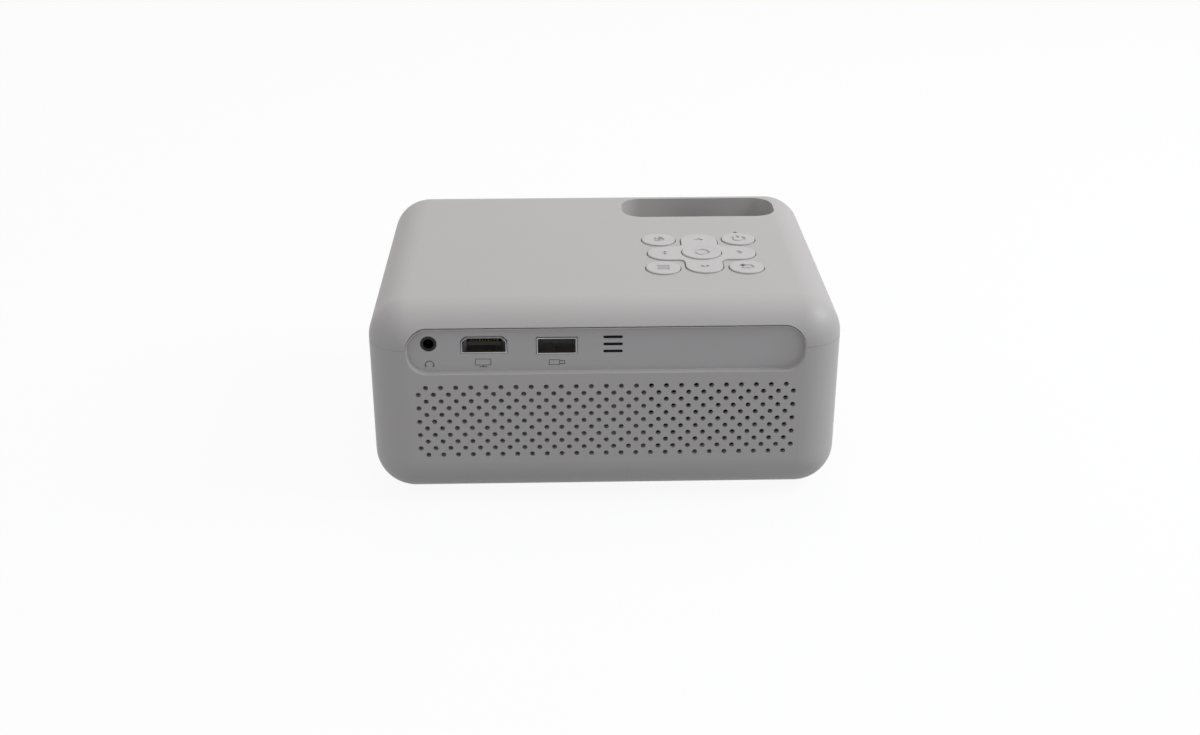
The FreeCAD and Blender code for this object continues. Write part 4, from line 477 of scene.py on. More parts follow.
# The rim of the pad's flange slopes down a little, so that it clears the cover as it tips.
FLANGE_BELOW_TOP = 3.1 * MM
RIM_DROP = 0.05 * MM
flange_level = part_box("nav_pad")[1].z - FLANGE_BELOW_TOP
pad_mesh = bpy.data.objects["nav_pad_cap"].data
bm = bmesh.new()
bm.from_mesh(pad_mesh)
flange_rim = [spot for spot in bm.verts if abs(spot.co.z - flange_level) < RIM_DROP
              and any(edge.other_vert(spot).co.z < flange_level - 0.5 * MM
                      for edge in spot.link_edges)]
bmesh.ops.translate(bm, vec=(0, 0, -RIM_DROP), verts=flange_rim)
bm.to_mesh(pad_mesh)
bm.free()

ok_low, ok_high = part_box("ok_button")
ok_middle = (ok_low + ok_high) / 2
ok_cutter = sign_cutter("ok_button", [(arc((0, 0), 2.4, 0, 345, 23), True)], DISH_DEPTH * 0.9)
rim = [ok_cutter.verts.new((DISH_RADIUS * step / DISH_STEPS, 0,
                            DISH_DEPTH * ((step / DISH_STEPS) ** 2 - 1)))
       for step in range(DISH_STEPS + 1)]
rim += [ok_cutter.verts.new((DISH_RADIUS, 0, 1 * MM)), ok_cutter.verts.new((0, 0, 1 * MM))]
profile = [ok_cutter.edges.new(pair) for pair in zip(rim, rim[1:])]
bmesh.ops.spin(ok_cutter, geom=rim + profile, cent=(0, 0, 0), axis=(0, 0, 1), angle=math.tau,
               steps=64, use_merge=True)
dish = {v for v in ok_cutter.verts if abs(v.co.x) <= DISH_RADIUS * 1.01 and v.co.z < 2 * MM}
bmesh.ops.translate(ok_cutter, vec=(ok_middle.x, ok_middle.y, ok_high.z), verts=list(dish))
bmesh.ops.remove_doubles(ok_cutter, verts=ok_cutter.verts, dist=1e-7)
bmesh.ops.recalc_face_normals(ok_cutter, faces=ok_cutter.faces)
carved("ok_key_cap", "ok_button", ok_cutter, key_plastic, "ok_button")


# ---------------------------------------------------------------- Keypad underside
# The navigation pad tips on a springy ring of white silicone.  Below it a green circuit board
# carries nine black snap switches and the smoked lens of the status light.
black_plastic = moulded("black_abs", (0.022, 0.022, 0.024), 0.45, mottle=0.10, wear=0.25)
silicone = moulded("white_silicone", (0.62, 0.61, 0.58), 0.60, grain=0.0005, depth=0.000008)
smoked_lens = moulded("smoked_light_lens", (0.040, 0.030, 0.028), 0.20, mottle=0.05)


def circuit_board(name, mask):
    """Green solder mask over copper: tracks in relief, tinned pads and a glassy surface."""
    material = bpy.data.materials.new(name)
    material.use_nodes = True
    shader = material.node_tree.nodes["Principled BSDF"]
    place = node(material, "TexCoord", {}).outputs["Object"]
    tracks = node(material, "TexBrick", {
        "Vector": place, "Scale": 260.0, "Mortar Size": 0.012, "Mortar Smooth": 0.2,
        "Bias": 0.0, "Brick Width": 0.9, "Row Height": 0.28}).outputs["Fac"]
    pads = node(material, "TexVoronoi", {"Vector": place, "Scale": 330.0}).outputs["Distance"]
    pad = node(material, "MapRange", {
        "Value": pads, "From Min": 0.10, "From Max": 0.12, "To Min": 1.0, "To Max": 0.0}).outputs[0]
    haze = node(material, "TexNoise", {"Vector": place, "Scale": 60.0}).outputs["Fac"]
    base = node(material, "MixRGB", {
        "Fac": haze, "Color1": coloured(mask, -0.15), "Color2": coloured(mask, 0.15)}).outputs[0]
    track = node(material, "MixRGB", {
        "Fac": tracks, "Color1": base, "Color2": coloured(mask, 0.7)}).outputs[0]
    tinned = node(material, "MixRGB", {
        "Fac": pad, "Color1": track, "Color2": (0.55, 0.54, 0.50, 1)}).outputs[0]
    bump = node(material, "Bump", {"Height": tracks, "Distance": 0.00003}).outputs[0]
    shader.inputs["Roughness"].default_value = 0.32
    shader.inputs["Coat Weight"].default_value = 0.4
    material.node_tree.links.new(tinned, shader.inputs["Base Color"])
    material.node_tree.links.new(pad, shader.inputs["Metallic"])
    material.node_tree.links.new(bump, shader.inputs["Normal"])
    return material


board_green = circuit_board("green_circuit_board", (0.020, 0.145, 0.062))
dress(board_green, "keypad_board", "port_board", "main_board", "drive_board")
dress(black_plastic, "keypad_switches", "infrared_receiver", "power_inlet")
dress(silicone, "nav_pivot")
dress(smoked_lens, "status_light")


# ---------------------------------------------------------------- Sockets
# The display and memory sockets are folded from plated steel sheet round a black tongue with
# gold-plated contacts, behind rounded mouths in the panel.  The headphone jack is plain black
# plastic, and smoked bars fill the three slots of the remote receiver.
def metal(name, colour, roughness, brushed=(1, 1, 1), scratch=0.05, tarnish=0.10):
    """A bare or plated metal: fine drawn lines along one axis, tarnish, and edges shaded as
    rounded.
    """
    material = bpy.data.materials.new(name)
    material.use_nodes = True
    shader = material.node_tree.nodes["Principled BSDF"]
    place = node(material, "TexCoord", {}).outputs["Object"]
    drawn = node(material, "Mapping", {"Vector": place, "Scale": brushed}).outputs[0]
    lines = node(material, "TexNoise", {"Vector": drawn, "Scale": 1600.0, "Detail": 3.0}).outputs[0]
    stain = node(material, "TexNoise", {"Vector": place, "Scale": 90.0, "Detail": 4.0}).outputs[0]
    tone = node(material, "MixRGB", {
        "Fac": stain, "Color1": coloured(colour, -tarnish),
        "Color2": coloured(colour, tarnish)}).outputs[0]
    rounded = node(material, "Bevel", {"Radius": 0.00015}, samples=4).outputs["Normal"]
    gloss = node(material, "MapRange", {
        "Value": lines, "From Min": 0.3, "From Max": 0.7,
        "To Min": max(0.03, roughness - scratch), "To Max": roughness + scratch}).outputs[0]
    bump = node(material, "Bump", {
        "Height": lines, "Distance": 0.000003, "Normal": rounded}).outputs[0]
    shader.inputs["Metallic"].default_value = 1.0
    material.node_tree.links.new(tone, shader.inputs["Base Color"])
    material.node_tree.links.new(gloss, shader.inputs["Roughness"])
    material.node_tree.links.new(bump, shader.inputs["Normal"])
    return material


gold_plate = metal("gold_plated_contact", (0.86, 0.62, 0.28), 0.22)
socket_steel = metal("socket_steel", (0.42, 0.42, 0.425), 0.32, brushed=(1, 0.08, 1))
jack_plastic = moulded("deep_black_abs", (0.008, 0.008, 0.009), 0.40, mottle=0.05, wear=0.10)
jack_plastic.node_tree.nodes["Principled BSDF"].inputs["Specular IOR Level"].default_value = 0.3
dress(jack_plastic, "headphone_jack")
SOCKET_SKIN = 0.3 * MM
SOCKET_BACK = 0.5 * MM
TONGUE, TONGUE_SHIFT, TONGUE_SHORT, TONGUE_EDGE = 1.6 * MM, 0.6 * MM, 2.0 * MM, 0.25 * MM
CONTACT_START = 2.2 * MM


def block(bm, middle, size):
    """Adds one block to a mesh, by its middle and its size."""
    made = bmesh.ops.create_cube(bm, size=1.0)["verts"]
    bmesh.ops.scale(bm, vec=size, verts=made)
    bmesh.ops.translate(bm, vec=middle, verts=made)


def break_edges(bm, width, segments=2):
    """Rounds every edge of a mesh of blocks a little."""
    bmesh.ops.bevel(bm, geom=bm.edges[:], offset=width, offset_type="OFFSET", segments=segments,
                    profile=0.5, affect="EDGES", material=-1)


def socket_shell(name, part, chamfer):
    """A steel shell open to the rear, drawn from its outline, with its upper corners cut off."""
    low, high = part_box(part)
    bm = bmesh.new()
    outline = [(low.x, low.z), (high.x, low.z), (high.x, high.z - chamfer),
               (high.x - chamfer, high.z), (low.x + chamfer, high.z), (low.x, high.z - chamfer)]
    if not chamfer:
        outline = [(low.x, low.z), (high.x, low.z), (high.x, high.z), (low.x, high.z)]
    back = bm.faces.new([bm.verts.new((x, high.y, z)) for x, z in outline])
    sides = bmesh.ops.extrude_face_region(bm, geom=[back])["geom"]
    front = [item for item in sides if isinstance(item, bmesh.types.BMFace)]
    moved = [item for item in sides if isinstance(item, bmesh.types.BMVert)]
    bmesh.ops.translate(bm, vec=(0, low.y - high.y, 0), verts=moved)
    bmesh.ops.inset_region(bm, faces=front, thickness=SOCKET_SKIN, use_even_offset=True)
    pushed = bmesh.ops.extrude_face_region(bm, geom=front)["geom"]
    bmesh.ops.delete(bm, geom=front, context="FACES_ONLY")
    inner = [item for item in pushed if isinstance(item, bmesh.types.BMVert)]
    bmesh.ops.translate(bm, vec=(0, high.y - low.y - SOCKET_BACK, 0), verts=inner)
    bmesh.ops.recalc_face_normals(bm, faces=bm.faces)
    upright = [edge for edge in bm.edges
               if abs(edge.verts[0].co.y - edge.verts[1].co.y) > 1 * MM]
    bmesh.ops.bevel(bm, geom=upright, offset=SOCKET_SKIN * 0.7, offset_type="OFFSET", segments=3,
                    profile=0.5, affect="EDGES", material=-1)
    shell = fit(name, bm, socket_steel, "housing")
    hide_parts(part)
    return shell


def tongue(name, part, width, lift):
    """The black tongue that carries a socket's contacts, with its front edges broken."""
    low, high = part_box(part)
    bm = bmesh.new()
    middle = (low + high) / 2
    block(bm, (middle.x, middle.y + TONGUE_SHIFT, middle.z + lift),
          (width, high.y - low.y - TONGUE_SHORT, TONGUE))
    break_edges(bm, TONGUE_EDGE)
    return fit(name, bm, jack_plastic, "housing")


DISPLAY_CHAMFER = 1.6 * MM
DISPLAY_TONGUE, MEMORY_TONGUE, MEMORY_LIFT = 11.6 * MM, 11.0 * MM, 1.2 * MM
socket_shell("display_socket_shell", "hdmi_socket", DISPLAY_CHAMFER)
socket_shell("memory_socket_shell", "usb_socket", 0.0)
tongue("display_socket_tongue", "hdmi_socket", DISPLAY_TONGUE, 0.0)
tongue("memory_socket_tongue", "usb_socket", MEMORY_TONGUE, MEMORY_LIFT)

MOUTH_REACH = 0.6 * MM
MOUTH_EDGE = 0.44 * MM
MOUTH_DEPTH = 0.49 * MM
edge_plastic = moulded("edge_grey_abs", PANEL_GREY, 0.42, rounding=0.00001, wear=0.0)


def mouth_edge(name, part, chamfer):
    """The panel's rounded edge round a socket, with its upper corners cut off."""
    low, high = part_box(part)
    left, right = low.x - MOUTH_REACH, high.x + MOUTH_REACH
    bottom, top = low.z - MOUTH_REACH, high.z + MOUTH_REACH
    outline = [(left, bottom), (right, bottom), (right, top), (left, top)]
    if chamfer:
        outline = outline[:2] + [(right, top - chamfer), (right - chamfer, top),
                                 (left + chamfer, top), (left, top - chamfer)]
    rounded_lip(name, outline, MOUTH_EDGE, lambda z: panel_face + LIP_SINK / 2,
                panel_face + MOUTH_DEPTH, edge_plastic)


mouth_edge("display_mouth_edge", "hdmi_socket", DISPLAY_CHAMFER)
mouth_edge("memory_mouth_edge", "usb_socket", 0.0)


def contact_row(bm, socket, count, pitch, width, thickness, length, level):
    """One row of flat spring contacts along a socket's tongue, at a level above its middle."""
    low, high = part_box(socket)
    for index in range(count):
        across_by = (index - (count - 1) / 2) * pitch
        block(bm, ((low.x + high.x) / 2 + across_by, low.y + CONTACT_START + length / 2,
                   (low.z + high.z) / 2 + level), (width, length, thickness))


bm = bmesh.new()
contact_row(bm, "hdmi_socket", 10, 1.0 * MM, 0.42 * MM, 0.12 * MM, 5.0 * MM, TONGUE / 2)
contact_row(bm, "hdmi_socket", 9, 1.0 * MM, 0.42 * MM, 0.12 * MM, 5.0 * MM, -TONGUE / 2)
break_edges(bm, 0.03 * MM, 1)
fit("display_socket_contacts", bm, gold_plate, "housing")

bm = bmesh.new()
contact_row(bm, "usb_socket", 4, 2.2 * MM, 1.1 * MM, 0.14 * MM, 7.0 * MM,
            MEMORY_LIFT - TONGUE / 2)
break_edges(bm, 0.04 * MM, 1)
fit("memory_socket_contacts", bm, gold_plate, "housing")

SLOT_X, SLOT_HEIGHT, SLOT_PITCH = 2.3 * MM, 58.35 * MM, 2.6 * MM
FILTER_SIZE = (6.5 * MM, 1.5 * MM, 0.98 * MM)
FILTER_SINK = 0.25 * MM
filter_plastic = moulded("smoked_filter", (0.005, 0.004, 0.005), 0.55, mottle=0.0, wear=0.0)
filter_plastic.node_tree.nodes["Principled BSDF"].inputs["Specular IOR Level"].default_value = 0.1
bm = bmesh.new()
for row in (-1, 0, 1):
    block(bm, (SLOT_X, panel_face + FILTER_SINK + FILTER_SIZE[1] / 2,
               SLOT_HEIGHT + row * SLOT_PITCH), FILTER_SIZE)
ends = [edge for edge in bm.edges if abs(edge.verts[0].co.y - edge.verts[1].co.y) > 1 * MM]
bmesh.ops.bevel(bm, geom=ends, offset=FILTER_SIZE[2] * 0.48, offset_type="OFFSET", segments=5,
                profile=0.5, affect="EDGES", material=-1)
fit("receiver_filter", bm, filter_plastic, "housing")


# ---------------------------------------------------------------- Feet, screws and bush
# Four dark grey rubber feet are pressed into pockets in the base.  Cross-head steel screws
# close the case, smaller ones hold the boards, and a turned brass bush takes a tripod screw.
# A bare foil label is stuck to the base.
rubber = moulded("dark_rubber", (0.060, 0.060, 0.062), 0.78, grain=0.0006, depth=0.00003,
                 mottle=0.10, wear=0.15)
zinc_steel = metal("zinc_plated_steel", (0.56, 0.565, 0.57), 0.34)
turned_brass = metal("turned_brass", (0.72, 0.53, 0.25), 0.28, brushed=(1, 1, 0.05))
dress(rubber, "rubber_feet")
dress(zinc_steel, "small_screws")
dress(turned_brass, "tripod_bush")

HEAD_RADIUS = 2.6 * MM
RECESS_ARM, RECESS_SLOT, RECESS_DEPTH = 3.1 * MM, 0.62 * MM, 1.1 * MM
screws_low, screws_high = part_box("case_screws")
bm = bmesh.new()
for side_x in (screws_low.x + HEAD_RADIUS, screws_high.x - HEAD_RADIUS):
    for side_y in (screws_low.y + HEAD_RADIUS, screws_high.y - HEAD_RADIUS):
        for arm in ((RECESS_ARM, RECESS_SLOT), (RECESS_SLOT, RECESS_ARM)):
            block(bm, (side_x, side_y, screws_low.z), (*arm, 2 * RECESS_DEPTH))
carved("cross_head_screws", "case_screws", bm, zinc_steel, "housing")

LABEL_WIDTH, LABEL_DEPTH, LABEL_FILM = 58 * MM, 22 * MM, 0.06 * MM
LABEL_Y, LABEL_CORNER = -27 * MM, 2 * MM
label_foil = metal("brushed_label_foil", (0.58, 0.58, 0.585), 0.36, brushed=(0.05, 1, 1))
bm = bmesh.new()
block(bm, (0, LABEL_Y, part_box("bottom_case")[0].z - LABEL_FILM / 2),
      (LABEL_WIDTH, LABEL_DEPTH, LABEL_FILM))
upright = [edge for edge in bm.edges
           if abs(edge.verts[0].co.z - edge.verts[1].co.z) > LABEL_FILM / 2]
bmesh.ops.bevel(bm, geom=upright, offset=LABEL_CORNER, offset_type="OFFSET", segments=6,
                profile=0.5, affect="EDGES", material=-1)
fit("bare_base_label", bm, label_foil, "housing")


# ---------------------------------------------------------------- Lens and focus ring
# Coated glass elements sit in a black barrel that slides in a fixed mount as the ribbed
# focus ring turns.  A grey bezel trims the mouth in the front wall.
def glass(name, tint, roughness=0.02):
    """Clear optical glass or acrylic, with faint dust that dulls its polish in places."""
    material = bpy.data.materials.new(name)
    material.use_nodes = True
    shader = material.node_tree.nodes["Principled BSDF"]
    place = node(material, "TexCoord", {}).outputs["Object"]
    dust = node(material, "TexNoise", {"Vector": place, "Scale": 320.0, "Detail": 5.0}).outputs[0]
    polish = node(material, "MapRange", {
        "Value": dust, "From Min": 0.45, "From Max": 0.75,
        "To Min": roughness, "To Max": roughness + 0.06}).outputs[0]
    film = node(material, "MixRGB", {
        "Fac": dust, "Color1": coloured(tint, 0), "Color2": coloured(tint, -0.05)}).outputs[0]
    shader.inputs["Transmission Weight"].default_value = 1.0
    shader.inputs["IOR"].default_value = 1.52
    material.node_tree.links.new(film, shader.inputs["Base Color"])
    material.node_tree.links.new(polish, shader.inputs["Roughness"])
    return material


coated_glass = glass("coated_lens_glass", (0.86, 0.93, 0.97))
lens_shader = coated_glass.node_tree.nodes["Principled BSDF"]
lens_shader.inputs["Specular Tint"].default_value = (0.62, 0.42, 0.95, 1)
bezel_plastic = moulded("satin_bezel_abs", (0.30, 0.29, 0.29), 0.35, depth=0.000005)
ring_rubber = moulded("ribbed_black_abs", (0.030, 0.030, 0.032), 0.55, mottle=0.10, wear=0.3)
dress(coated_glass, "lens_elements")
dress(bezel_plastic, "lens_bezel")
dress(ring_rubber, "focus_ring")
dress(black_plastic, "lens_barrel", "lens_mount")


# ---------------------------------------------------------------- Light engine
# A black box, closed by a screwed lid, lines up the lamp module, condenser, white light
# funnel, flat lenses, picture panel and folding mirror.  A finned aluminium sink cools it.
engine_black = moulded("glass_filled_black", (0.018, 0.018, 0.019), 0.62, grain=0.0008,
                       depth=0.00002, mottle=0.12, wear=0.2)
sink_aluminium = metal("extruded_aluminium", (0.74, 0.745, 0.75), 0.38, brushed=(1, 1, 0.06),
                       scratch=0.08)
funnel_white = moulded("white_reflector", (0.78, 0.78, 0.76), 0.30)
clear_acrylic = glass("clear_acrylic", (0.95, 0.96, 0.96), 0.04)
picture_glass = glass("picture_panel_glass", (0.10, 0.12, 0.13), 0.05)
first_surface_mirror = metal("first_surface_mirror", (0.88, 0.89, 0.90), 0.03, scratch=0.0,
                             tarnish=0.02)
dress(engine_black, "engine_housing", "engine_lid")
dress(sink_aluminium, "led_heatsink")
dress(funnel_white, "light_funnel", "led_module")
dress(clear_acrylic, "condenser_lens", "collimating_fresnel", "field_fresnel")
dress(picture_glass, "display_panel")
dress(first_surface_mirror, "fold_mirror")


# ---------------------------------------------------------------- Board components
# The main board and the port board carry rows of tiny tan ceramic parts, white nylon cable
# headers and aluminium can capacitors in dark sleeves, all soldered on by machine.
ceramic = moulded("tan_ceramic", (0.30, 0.23, 0.17), 0.40, grain=0.00012, depth=0.000004,
                  mottle=0.15, wear=0.0)
header_nylon = moulded("white_header_nylon", (0.70, 0.69, 0.64), 0.45)
can_sleeve = moulded("dark_capacitor_sleeve", (0.030, 0.032, 0.045), 0.30, mottle=0.05, wear=0.05)
BOARD_THICKNESS = 1.2 * MM
CERAMIC_SIZE = (1.0 * MM, 1.8 * MM, 0.7 * MM)
CERAMIC_PITCH, CERAMIC_ROWS, PORT_ROW = 2.6, (3.5 * MM, 50.5 * MM), 1.6 * MM
HEADER_WIDTH, HEADER_LENGTH, HEADER_BASE = 4.4 * MM, 9.0 * MM, 1.0 * MM
HEADER_WALL, HEADER_TALL, HEADER_LEVEL = 0.7 * MM, 3.2 * MM, 2.0 * MM
main_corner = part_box("main_board")[0]
port_low, port_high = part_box("port_board")
main_deck = main_corner.z + BOARD_THICKNESS


def turned(bm, profile, centre=(0, 0, 0), steps=32):
    """Spins a profile of (radius, height) points in millimetres round an upright axis."""
    before = set(bm.verts)
    spots = [bm.verts.new((radius * MM, 0, height * MM)) for radius, height in profile]
    lines = [bm.edges.new(pair) for pair in zip(spots, spots[1:])]
    bmesh.ops.spin(bm, geom=spots + lines, cent=(0, 0, 0), axis=(0, 0, 1), angle=math.tau,
                   steps=steps, use_merge=True)
    added = [spot for spot in bm.verts if spot not in before]
    bmesh.ops.translate(bm, vec=centre, verts=added)
    bmesh.ops.remove_doubles(bm, verts=added, dist=1e-7)


bm = bmesh.new()
for index in range(18):
    for row_y in CERAMIC_ROWS:
        block(bm, (main_corner.x + (10 + CERAMIC_PITCH * index) * MM, main_corner.y + row_y,
                   main_deck + CERAMIC_SIZE[2] / 2), CERAMIC_SIZE)
for index in range(24):
    block(bm, (port_low.x + (8 + CERAMIC_PITCH * index) * MM, port_high.y - PORT_ROW,
               port_high.z + CERAMIC_SIZE[2] / 2), CERAMIC_SIZE)
break_edges(bm, 0.08 * MM, 1)
fit("ceramic_parts", bm, ceramic, "housing")

bm = bmesh.new()
for corner_x, corner_y in ((5.5, 14.0), (5.5, 27.0), (5.5, 40.0), (62.5, 20.0)):
    middle = Vector((main_corner.x + corner_x * MM, main_corner.y + corner_y * MM, main_deck))
    block(bm, middle + Vector((0, 0, HEADER_BASE / 2)),
          (HEADER_WIDTH, HEADER_LENGTH, HEADER_BASE))
    for side in (-1, 1):
        wall_x = side * (HEADER_WIDTH - HEADER_WALL) / 2
        wall_y = side * (HEADER_LENGTH - HEADER_WALL) / 2
        block(bm, middle + Vector((wall_x, 0, HEADER_LEVEL)),
              (HEADER_WALL, HEADER_LENGTH, HEADER_TALL))
        block(bm, middle + Vector((0, wall_y, HEADER_LEVEL)),
              (HEADER_WIDTH, HEADER_WALL, HEADER_TALL))
break_edges(bm, 0.12 * MM, 1)
fit("cable_headers", bm, header_nylon, "housing")

CAN_PLACES = ((13.0, 11.0), (19.0, 11.0), (13.0, 44.0), (19.0, 44.0), (58.0, 44.0))
bm = bmesh.new()
for corner_x, corner_y in CAN_PLACES:
    turned(bm, [(0, 0), (2.3, 0), (2.3, 0.5), (2.1, 0.7), (2.3, 0.9), (2.3, 4.1), (2.1, 4.3),
                (1.8, 4.3), (1.7, 4.2), (0, 4.2)],
           (main_corner.x + corner_x * MM, main_corner.y + corner_y * MM, main_deck), 24)
bmesh.ops.recalc_face_normals(bm, faces=bm.faces)
fit("capacitor_cans", bm, sink_aluminium, "housing")

bm = bmesh.new()
for corner_x, corner_y in CAN_PLACES:
    turned(bm, [(2.31, 1.0), (2.36, 1.0), (2.36, 4.0), (2.31, 4.05), (2.31, 1.0)],
           (main_corner.x + corner_x * MM, main_corner.y + corner_y * MM, main_deck), 24)
bmesh.ops.recalc_face_normals(bm, faces=bm.faces)
fit("capacitor_sleeves", bm, can_sleeve, "housing")


# ---------------------------------------------------------------- Middle frame and fan
# A black moulded deck stands over the disc drive and carries everything above it.  The
# square axial fan stands on it and blows through the side slots.
frame_black = moulded("black_frame_abs", (0.026, 0.026, 0.028), 0.55, grain=0.0005,
                      depth=0.000015, mottle=0.10, wear=0.2)
dress(frame_black, "middle_frame", "fan_frame", "fan_rotor")


# ---------------------------------------------------------------- Loudspeakers
# Two small square loudspeakers behind the cloth: moulded baskets, zinc-plated magnet cups
# and doped paper cones with a soft matt surface.
cone_paper = moulded("doped_cone_paper", (0.050, 0.047, 0.045), 0.85, grain=0.0010,
                     depth=0.00005, mottle=0.15, wear=0.0)
dress(frame_black, "speaker_frames")
dress(zinc_steel, "speaker_magnets")
dress(cone_paper, "speaker_cones")


# ---------------------------------------------------------------- Disc drive
# A pressed steel box holds a slim tray-loading drive: two steel rails, a black tray with the
# turning hub and laser sled in its floor, and a grey bezel with an eject key.
tray_black = moulded("satin_tray_plastic", (0.035, 0.035, 0.037), 0.42, mottle=0.08, wear=0.25)
pressed_steel = metal("pressed_galvanised_steel", (0.60, 0.60, 0.595), 0.40, tarnish=0.16)
polished_steel = metal("ground_steel_rod", (0.66, 0.66, 0.66), 0.14)
sled_zinc = metal("die_cast_zinc", (0.50, 0.51, 0.52), 0.48, scratch=0.08)
dress(pressed_steel, "drive_chassis", "drive_lid", "tray_rails", "feed_motor", "spindle_motor")
dress(polished_steel, "guide_rods")
dress(tray_black, "disc_tray", "traverse_frame")
dress(shell_plastic, "tray_bezel")
dress(key_plastic, "eject_button")


# ---------------------------------------------------------------- Turntable
# A moulded turntable pressed on the motor's spindle.  A rubber ring grips the disc, and three
# sprung steel balls in the tapered hub hold it in the middle.
hub_low, hub_high = (corner.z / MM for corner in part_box("spindle_hub"))
TABLE_TOP = hub_high - 1.9
BALL_RADIUS, BALL_CIRCLE, BALL_RISE = 0.85 * MM, 6.9 * MM, 0.8
bm = bmesh.new()
turned(bm, [(0, hub_low), (1.0, hub_low), (1.0, TABLE_TOP - 1.2), (12.7, TABLE_TOP - 1.2),
            (13.0, TABLE_TOP - 0.95), (13.0, TABLE_TOP - 0.5), (12.8, TABLE_TOP - 0.3),
            (8.0, TABLE_TOP - 0.3), (7.3, TABLE_TOP - 0.1), (7.3, TABLE_TOP + 0.9),
            (7.0, TABLE_TOP + 1.5), (6.3, hub_high - 0.1), (6.0, hub_high), (2.4, hub_high),
            (2.1, hub_high - 0.3), (1.3, hub_high - 0.3), (1.2, hub_high - 0.2),
            (0, hub_high - 0.2)], steps=64)
bmesh.ops.recalc_face_normals(bm, faces=bm.faces)
fit("turntable_and_hub", bm, tray_black, "spindle_hub")
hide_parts("spindle_hub")

bm = bmesh.new()
turned(bm, [(9.4, TABLE_TOP - 0.3), (9.4, TABLE_TOP - 0.05), (9.6, TABLE_TOP), (12.2, TABLE_TOP),
            (12.4, TABLE_TOP - 0.05), (12.4, TABLE_TOP - 0.3), (9.4, TABLE_TOP - 0.3)], steps=64)
bmesh.ops.recalc_face_normals(bm, faces=bm.faces)
fit("disc_grip_ring", bm, rubber, "spindle_hub")

bm = bmesh.new()
for turn in (0, 120, 240):
    made = bmesh.ops.create_uvsphere(bm, u_segments=16, v_segments=10, radius=BALL_RADIUS)["verts"]
    angle = math.radians(turn)
    bmesh.ops.translate(bm, verts=made, vec=(
        BALL_CIRCLE * math.cos(angle), BALL_CIRCLE * math.sin(angle), (TABLE_TOP + BALL_RISE) * MM))
fit("hub_spring_balls", bm, polished_steel, "spindle_hub")


# ---------------------------------------------------------------- Pickup and feed screw
# The laser's lens floats on four copper wires in a pocket of the die-cast sled.  The sled
# slides on two ground rods, and a coarse rolled thread drives it.
SLED_TURN = Matrix.Rotation(math.radians(45), 3, "Z")
SLED_MIDDLE, SLED_TOP, POCKET_FLOOR = 24.5, 14.0, 13.2
POCKET_SIZE = (9 * MM, 9 * MM, 2 * MM)
GROOVE_SIDE, GROOVE_SIZE = 6.6, (1.6 * MM, 13 * MM, 1.0 * MM)
HOLDER_SIZE = (6.2 * MM, 5.4 * MM, 0.9 * MM)
YOKE_SIDE, YOKE_SIZE = 3.7 * MM, (7.6 * MM, 1.0 * MM, 0.8 * MM)
WIRE_REACH, WIRE_SIDE, WIRE_PEN = 4.6, 2.9 * MM, 0.06 * MM
bm = bmesh.new()
block(bm, (SLED_MIDDLE * MM, 0, (POCKET_FLOOR + 1) * MM), POCKET_SIZE)
for side in (-1, 1):
    block(bm, ((SLED_MIDDLE + side * GROOVE_SIDE) * MM, 0, SLED_TOP * MM), GROOVE_SIZE)
bmesh.ops.rotate(bm, cent=(0, 0, 0), matrix=SLED_TURN, verts=bm.verts)
carved("pickup_casting", "pickup_sled", bm, sled_zinc, "pickup_sled")

bm = bmesh.new()
block(bm, (SLED_MIDDLE * MM, 0, (POCKET_FLOOR + 0.55) * MM), HOLDER_SIZE)
for side in (-1, 1):
    block(bm, (SLED_MIDDLE * MM, side * YOKE_SIDE, (POCKET_FLOOR + 0.4) * MM), YOKE_SIZE)
break_edges(bm, 0.15 * MM)
bmesh.ops.rotate(bm, cent=(0, 0, 0), matrix=SLED_TURN, verts=bm.verts)
fit("lens_holder", bm, black_plastic, "pickup_sled")

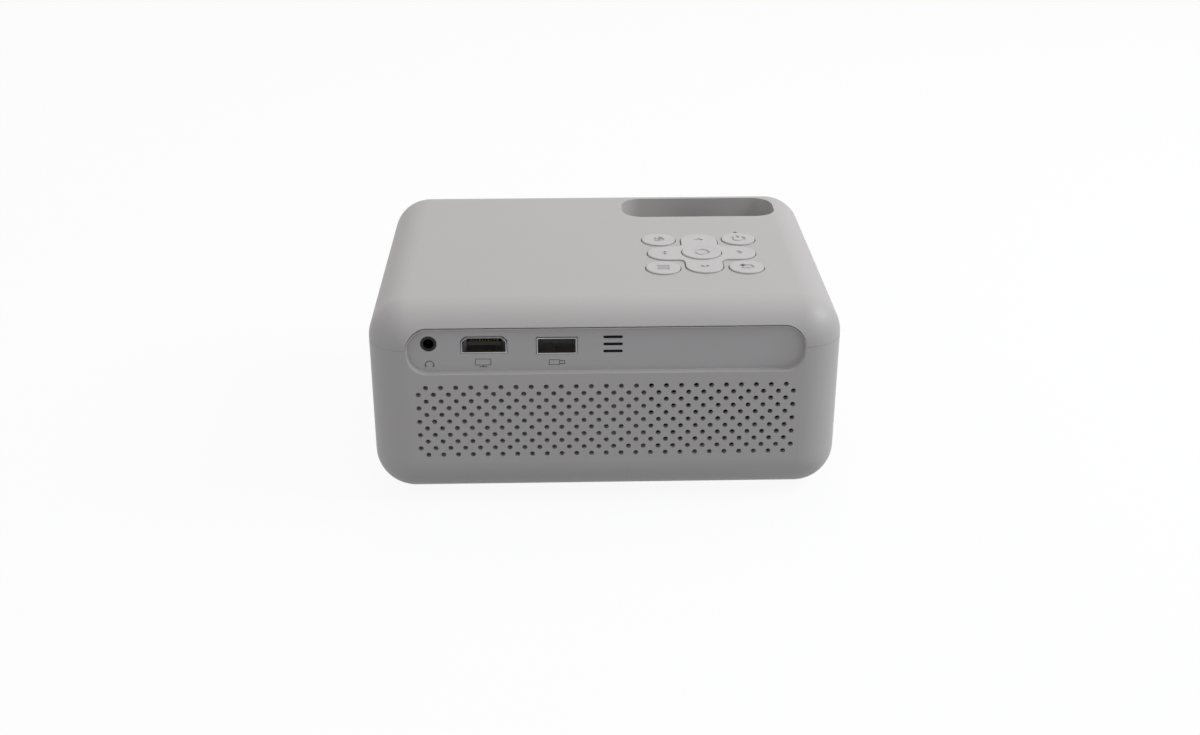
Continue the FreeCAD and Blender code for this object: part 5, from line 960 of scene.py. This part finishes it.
bm = bmesh.new()
turned(bm, [(0, POCKET_FLOOR + 0.9), (1.9, POCKET_FLOOR + 0.9), (1.9, POCKET_FLOOR + 1.05),
            (1.6, POCKET_FLOOR + 1.2), (1.1, POCKET_FLOOR + 1.33), (0.5, POCKET_FLOOR + 1.39),
            (0, POCKET_FLOOR + 1.4)], (SLED_MIDDLE * MM, 0, 0))
bmesh.ops.rotate(bm, cent=(0, 0, 0), matrix=SLED_TURN, verts=bm.verts)
bmesh.ops.recalc_face_normals(bm, faces=bm.faces)
fit("pickup_lens", bm, coated_glass, "pickup_sled")

copper = metal("copper_wire", (0.80, 0.42, 0.26), 0.30)
bm = bmesh.new()
for side in (-1, 1):
    for level in (0.3, 0.7):
        ends = [((SLED_MIDDLE + reach) * MM, side * WIRE_SIDE, (POCKET_FLOOR + level) * MM)
                for reach in (-WIRE_REACH, WIRE_REACH)]
        bm.from_mesh(drawn_line(ends, WIRE_PEN))
bmesh.ops.rotate(bm, cent=(0, 0, 0), matrix=SLED_TURN, verts=bm.verts)
bmesh.ops.recalc_face_normals(bm, faces=bm.faces)
fit("lens_wires", bm, copper, "pickup_sled")

SCREW_START, SCREW_END, SCREW_SIDE, SCREW_LEVEL = -7.5, 67.8, 12.9, 12.5
THREAD_PITCH, THREAD_ROOT, THREAD_PEN, THREAD_STEPS = 3.0, 0.64, 0.25, 14
bm = bmesh.new()
turned(bm, [(0, SCREW_START), (0.62, SCREW_START), (0.7, SCREW_START + 0.1),
            (0.7, SCREW_END - 0.1), (0.62, SCREW_END), (0, SCREW_END)], steps=24)
turns = (SCREW_END - SCREW_START - 6) / THREAD_PITCH
helix = [(THREAD_ROOT * MM * math.cos(math.tau * step / THREAD_STEPS),
          THREAD_ROOT * MM * math.sin(math.tau * step / THREAD_STEPS),
          (SCREW_START + 3 + THREAD_PITCH * step / THREAD_STEPS) * MM)
         for step in range(int(turns * THREAD_STEPS))]
bm.from_mesh(drawn_line(helix, THREAD_PEN * MM))
bmesh.ops.rotate(bm, cent=(0, 0, 0), matrix=Matrix.Rotation(math.pi / 2, 3, "Y"), verts=bm.verts)
bmesh.ops.translate(bm, vec=(0, SCREW_SIDE * MM, SCREW_LEVEL * MM), verts=bm.verts)
bmesh.ops.rotate(bm, cent=(0, 0, 0), matrix=SLED_TURN, verts=bm.verts)
bmesh.ops.recalc_face_normals(bm, faces=bm.faces)
fit("threaded_feed_screw", bm, polished_steel, "feed_screw")
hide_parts("feed_screw")
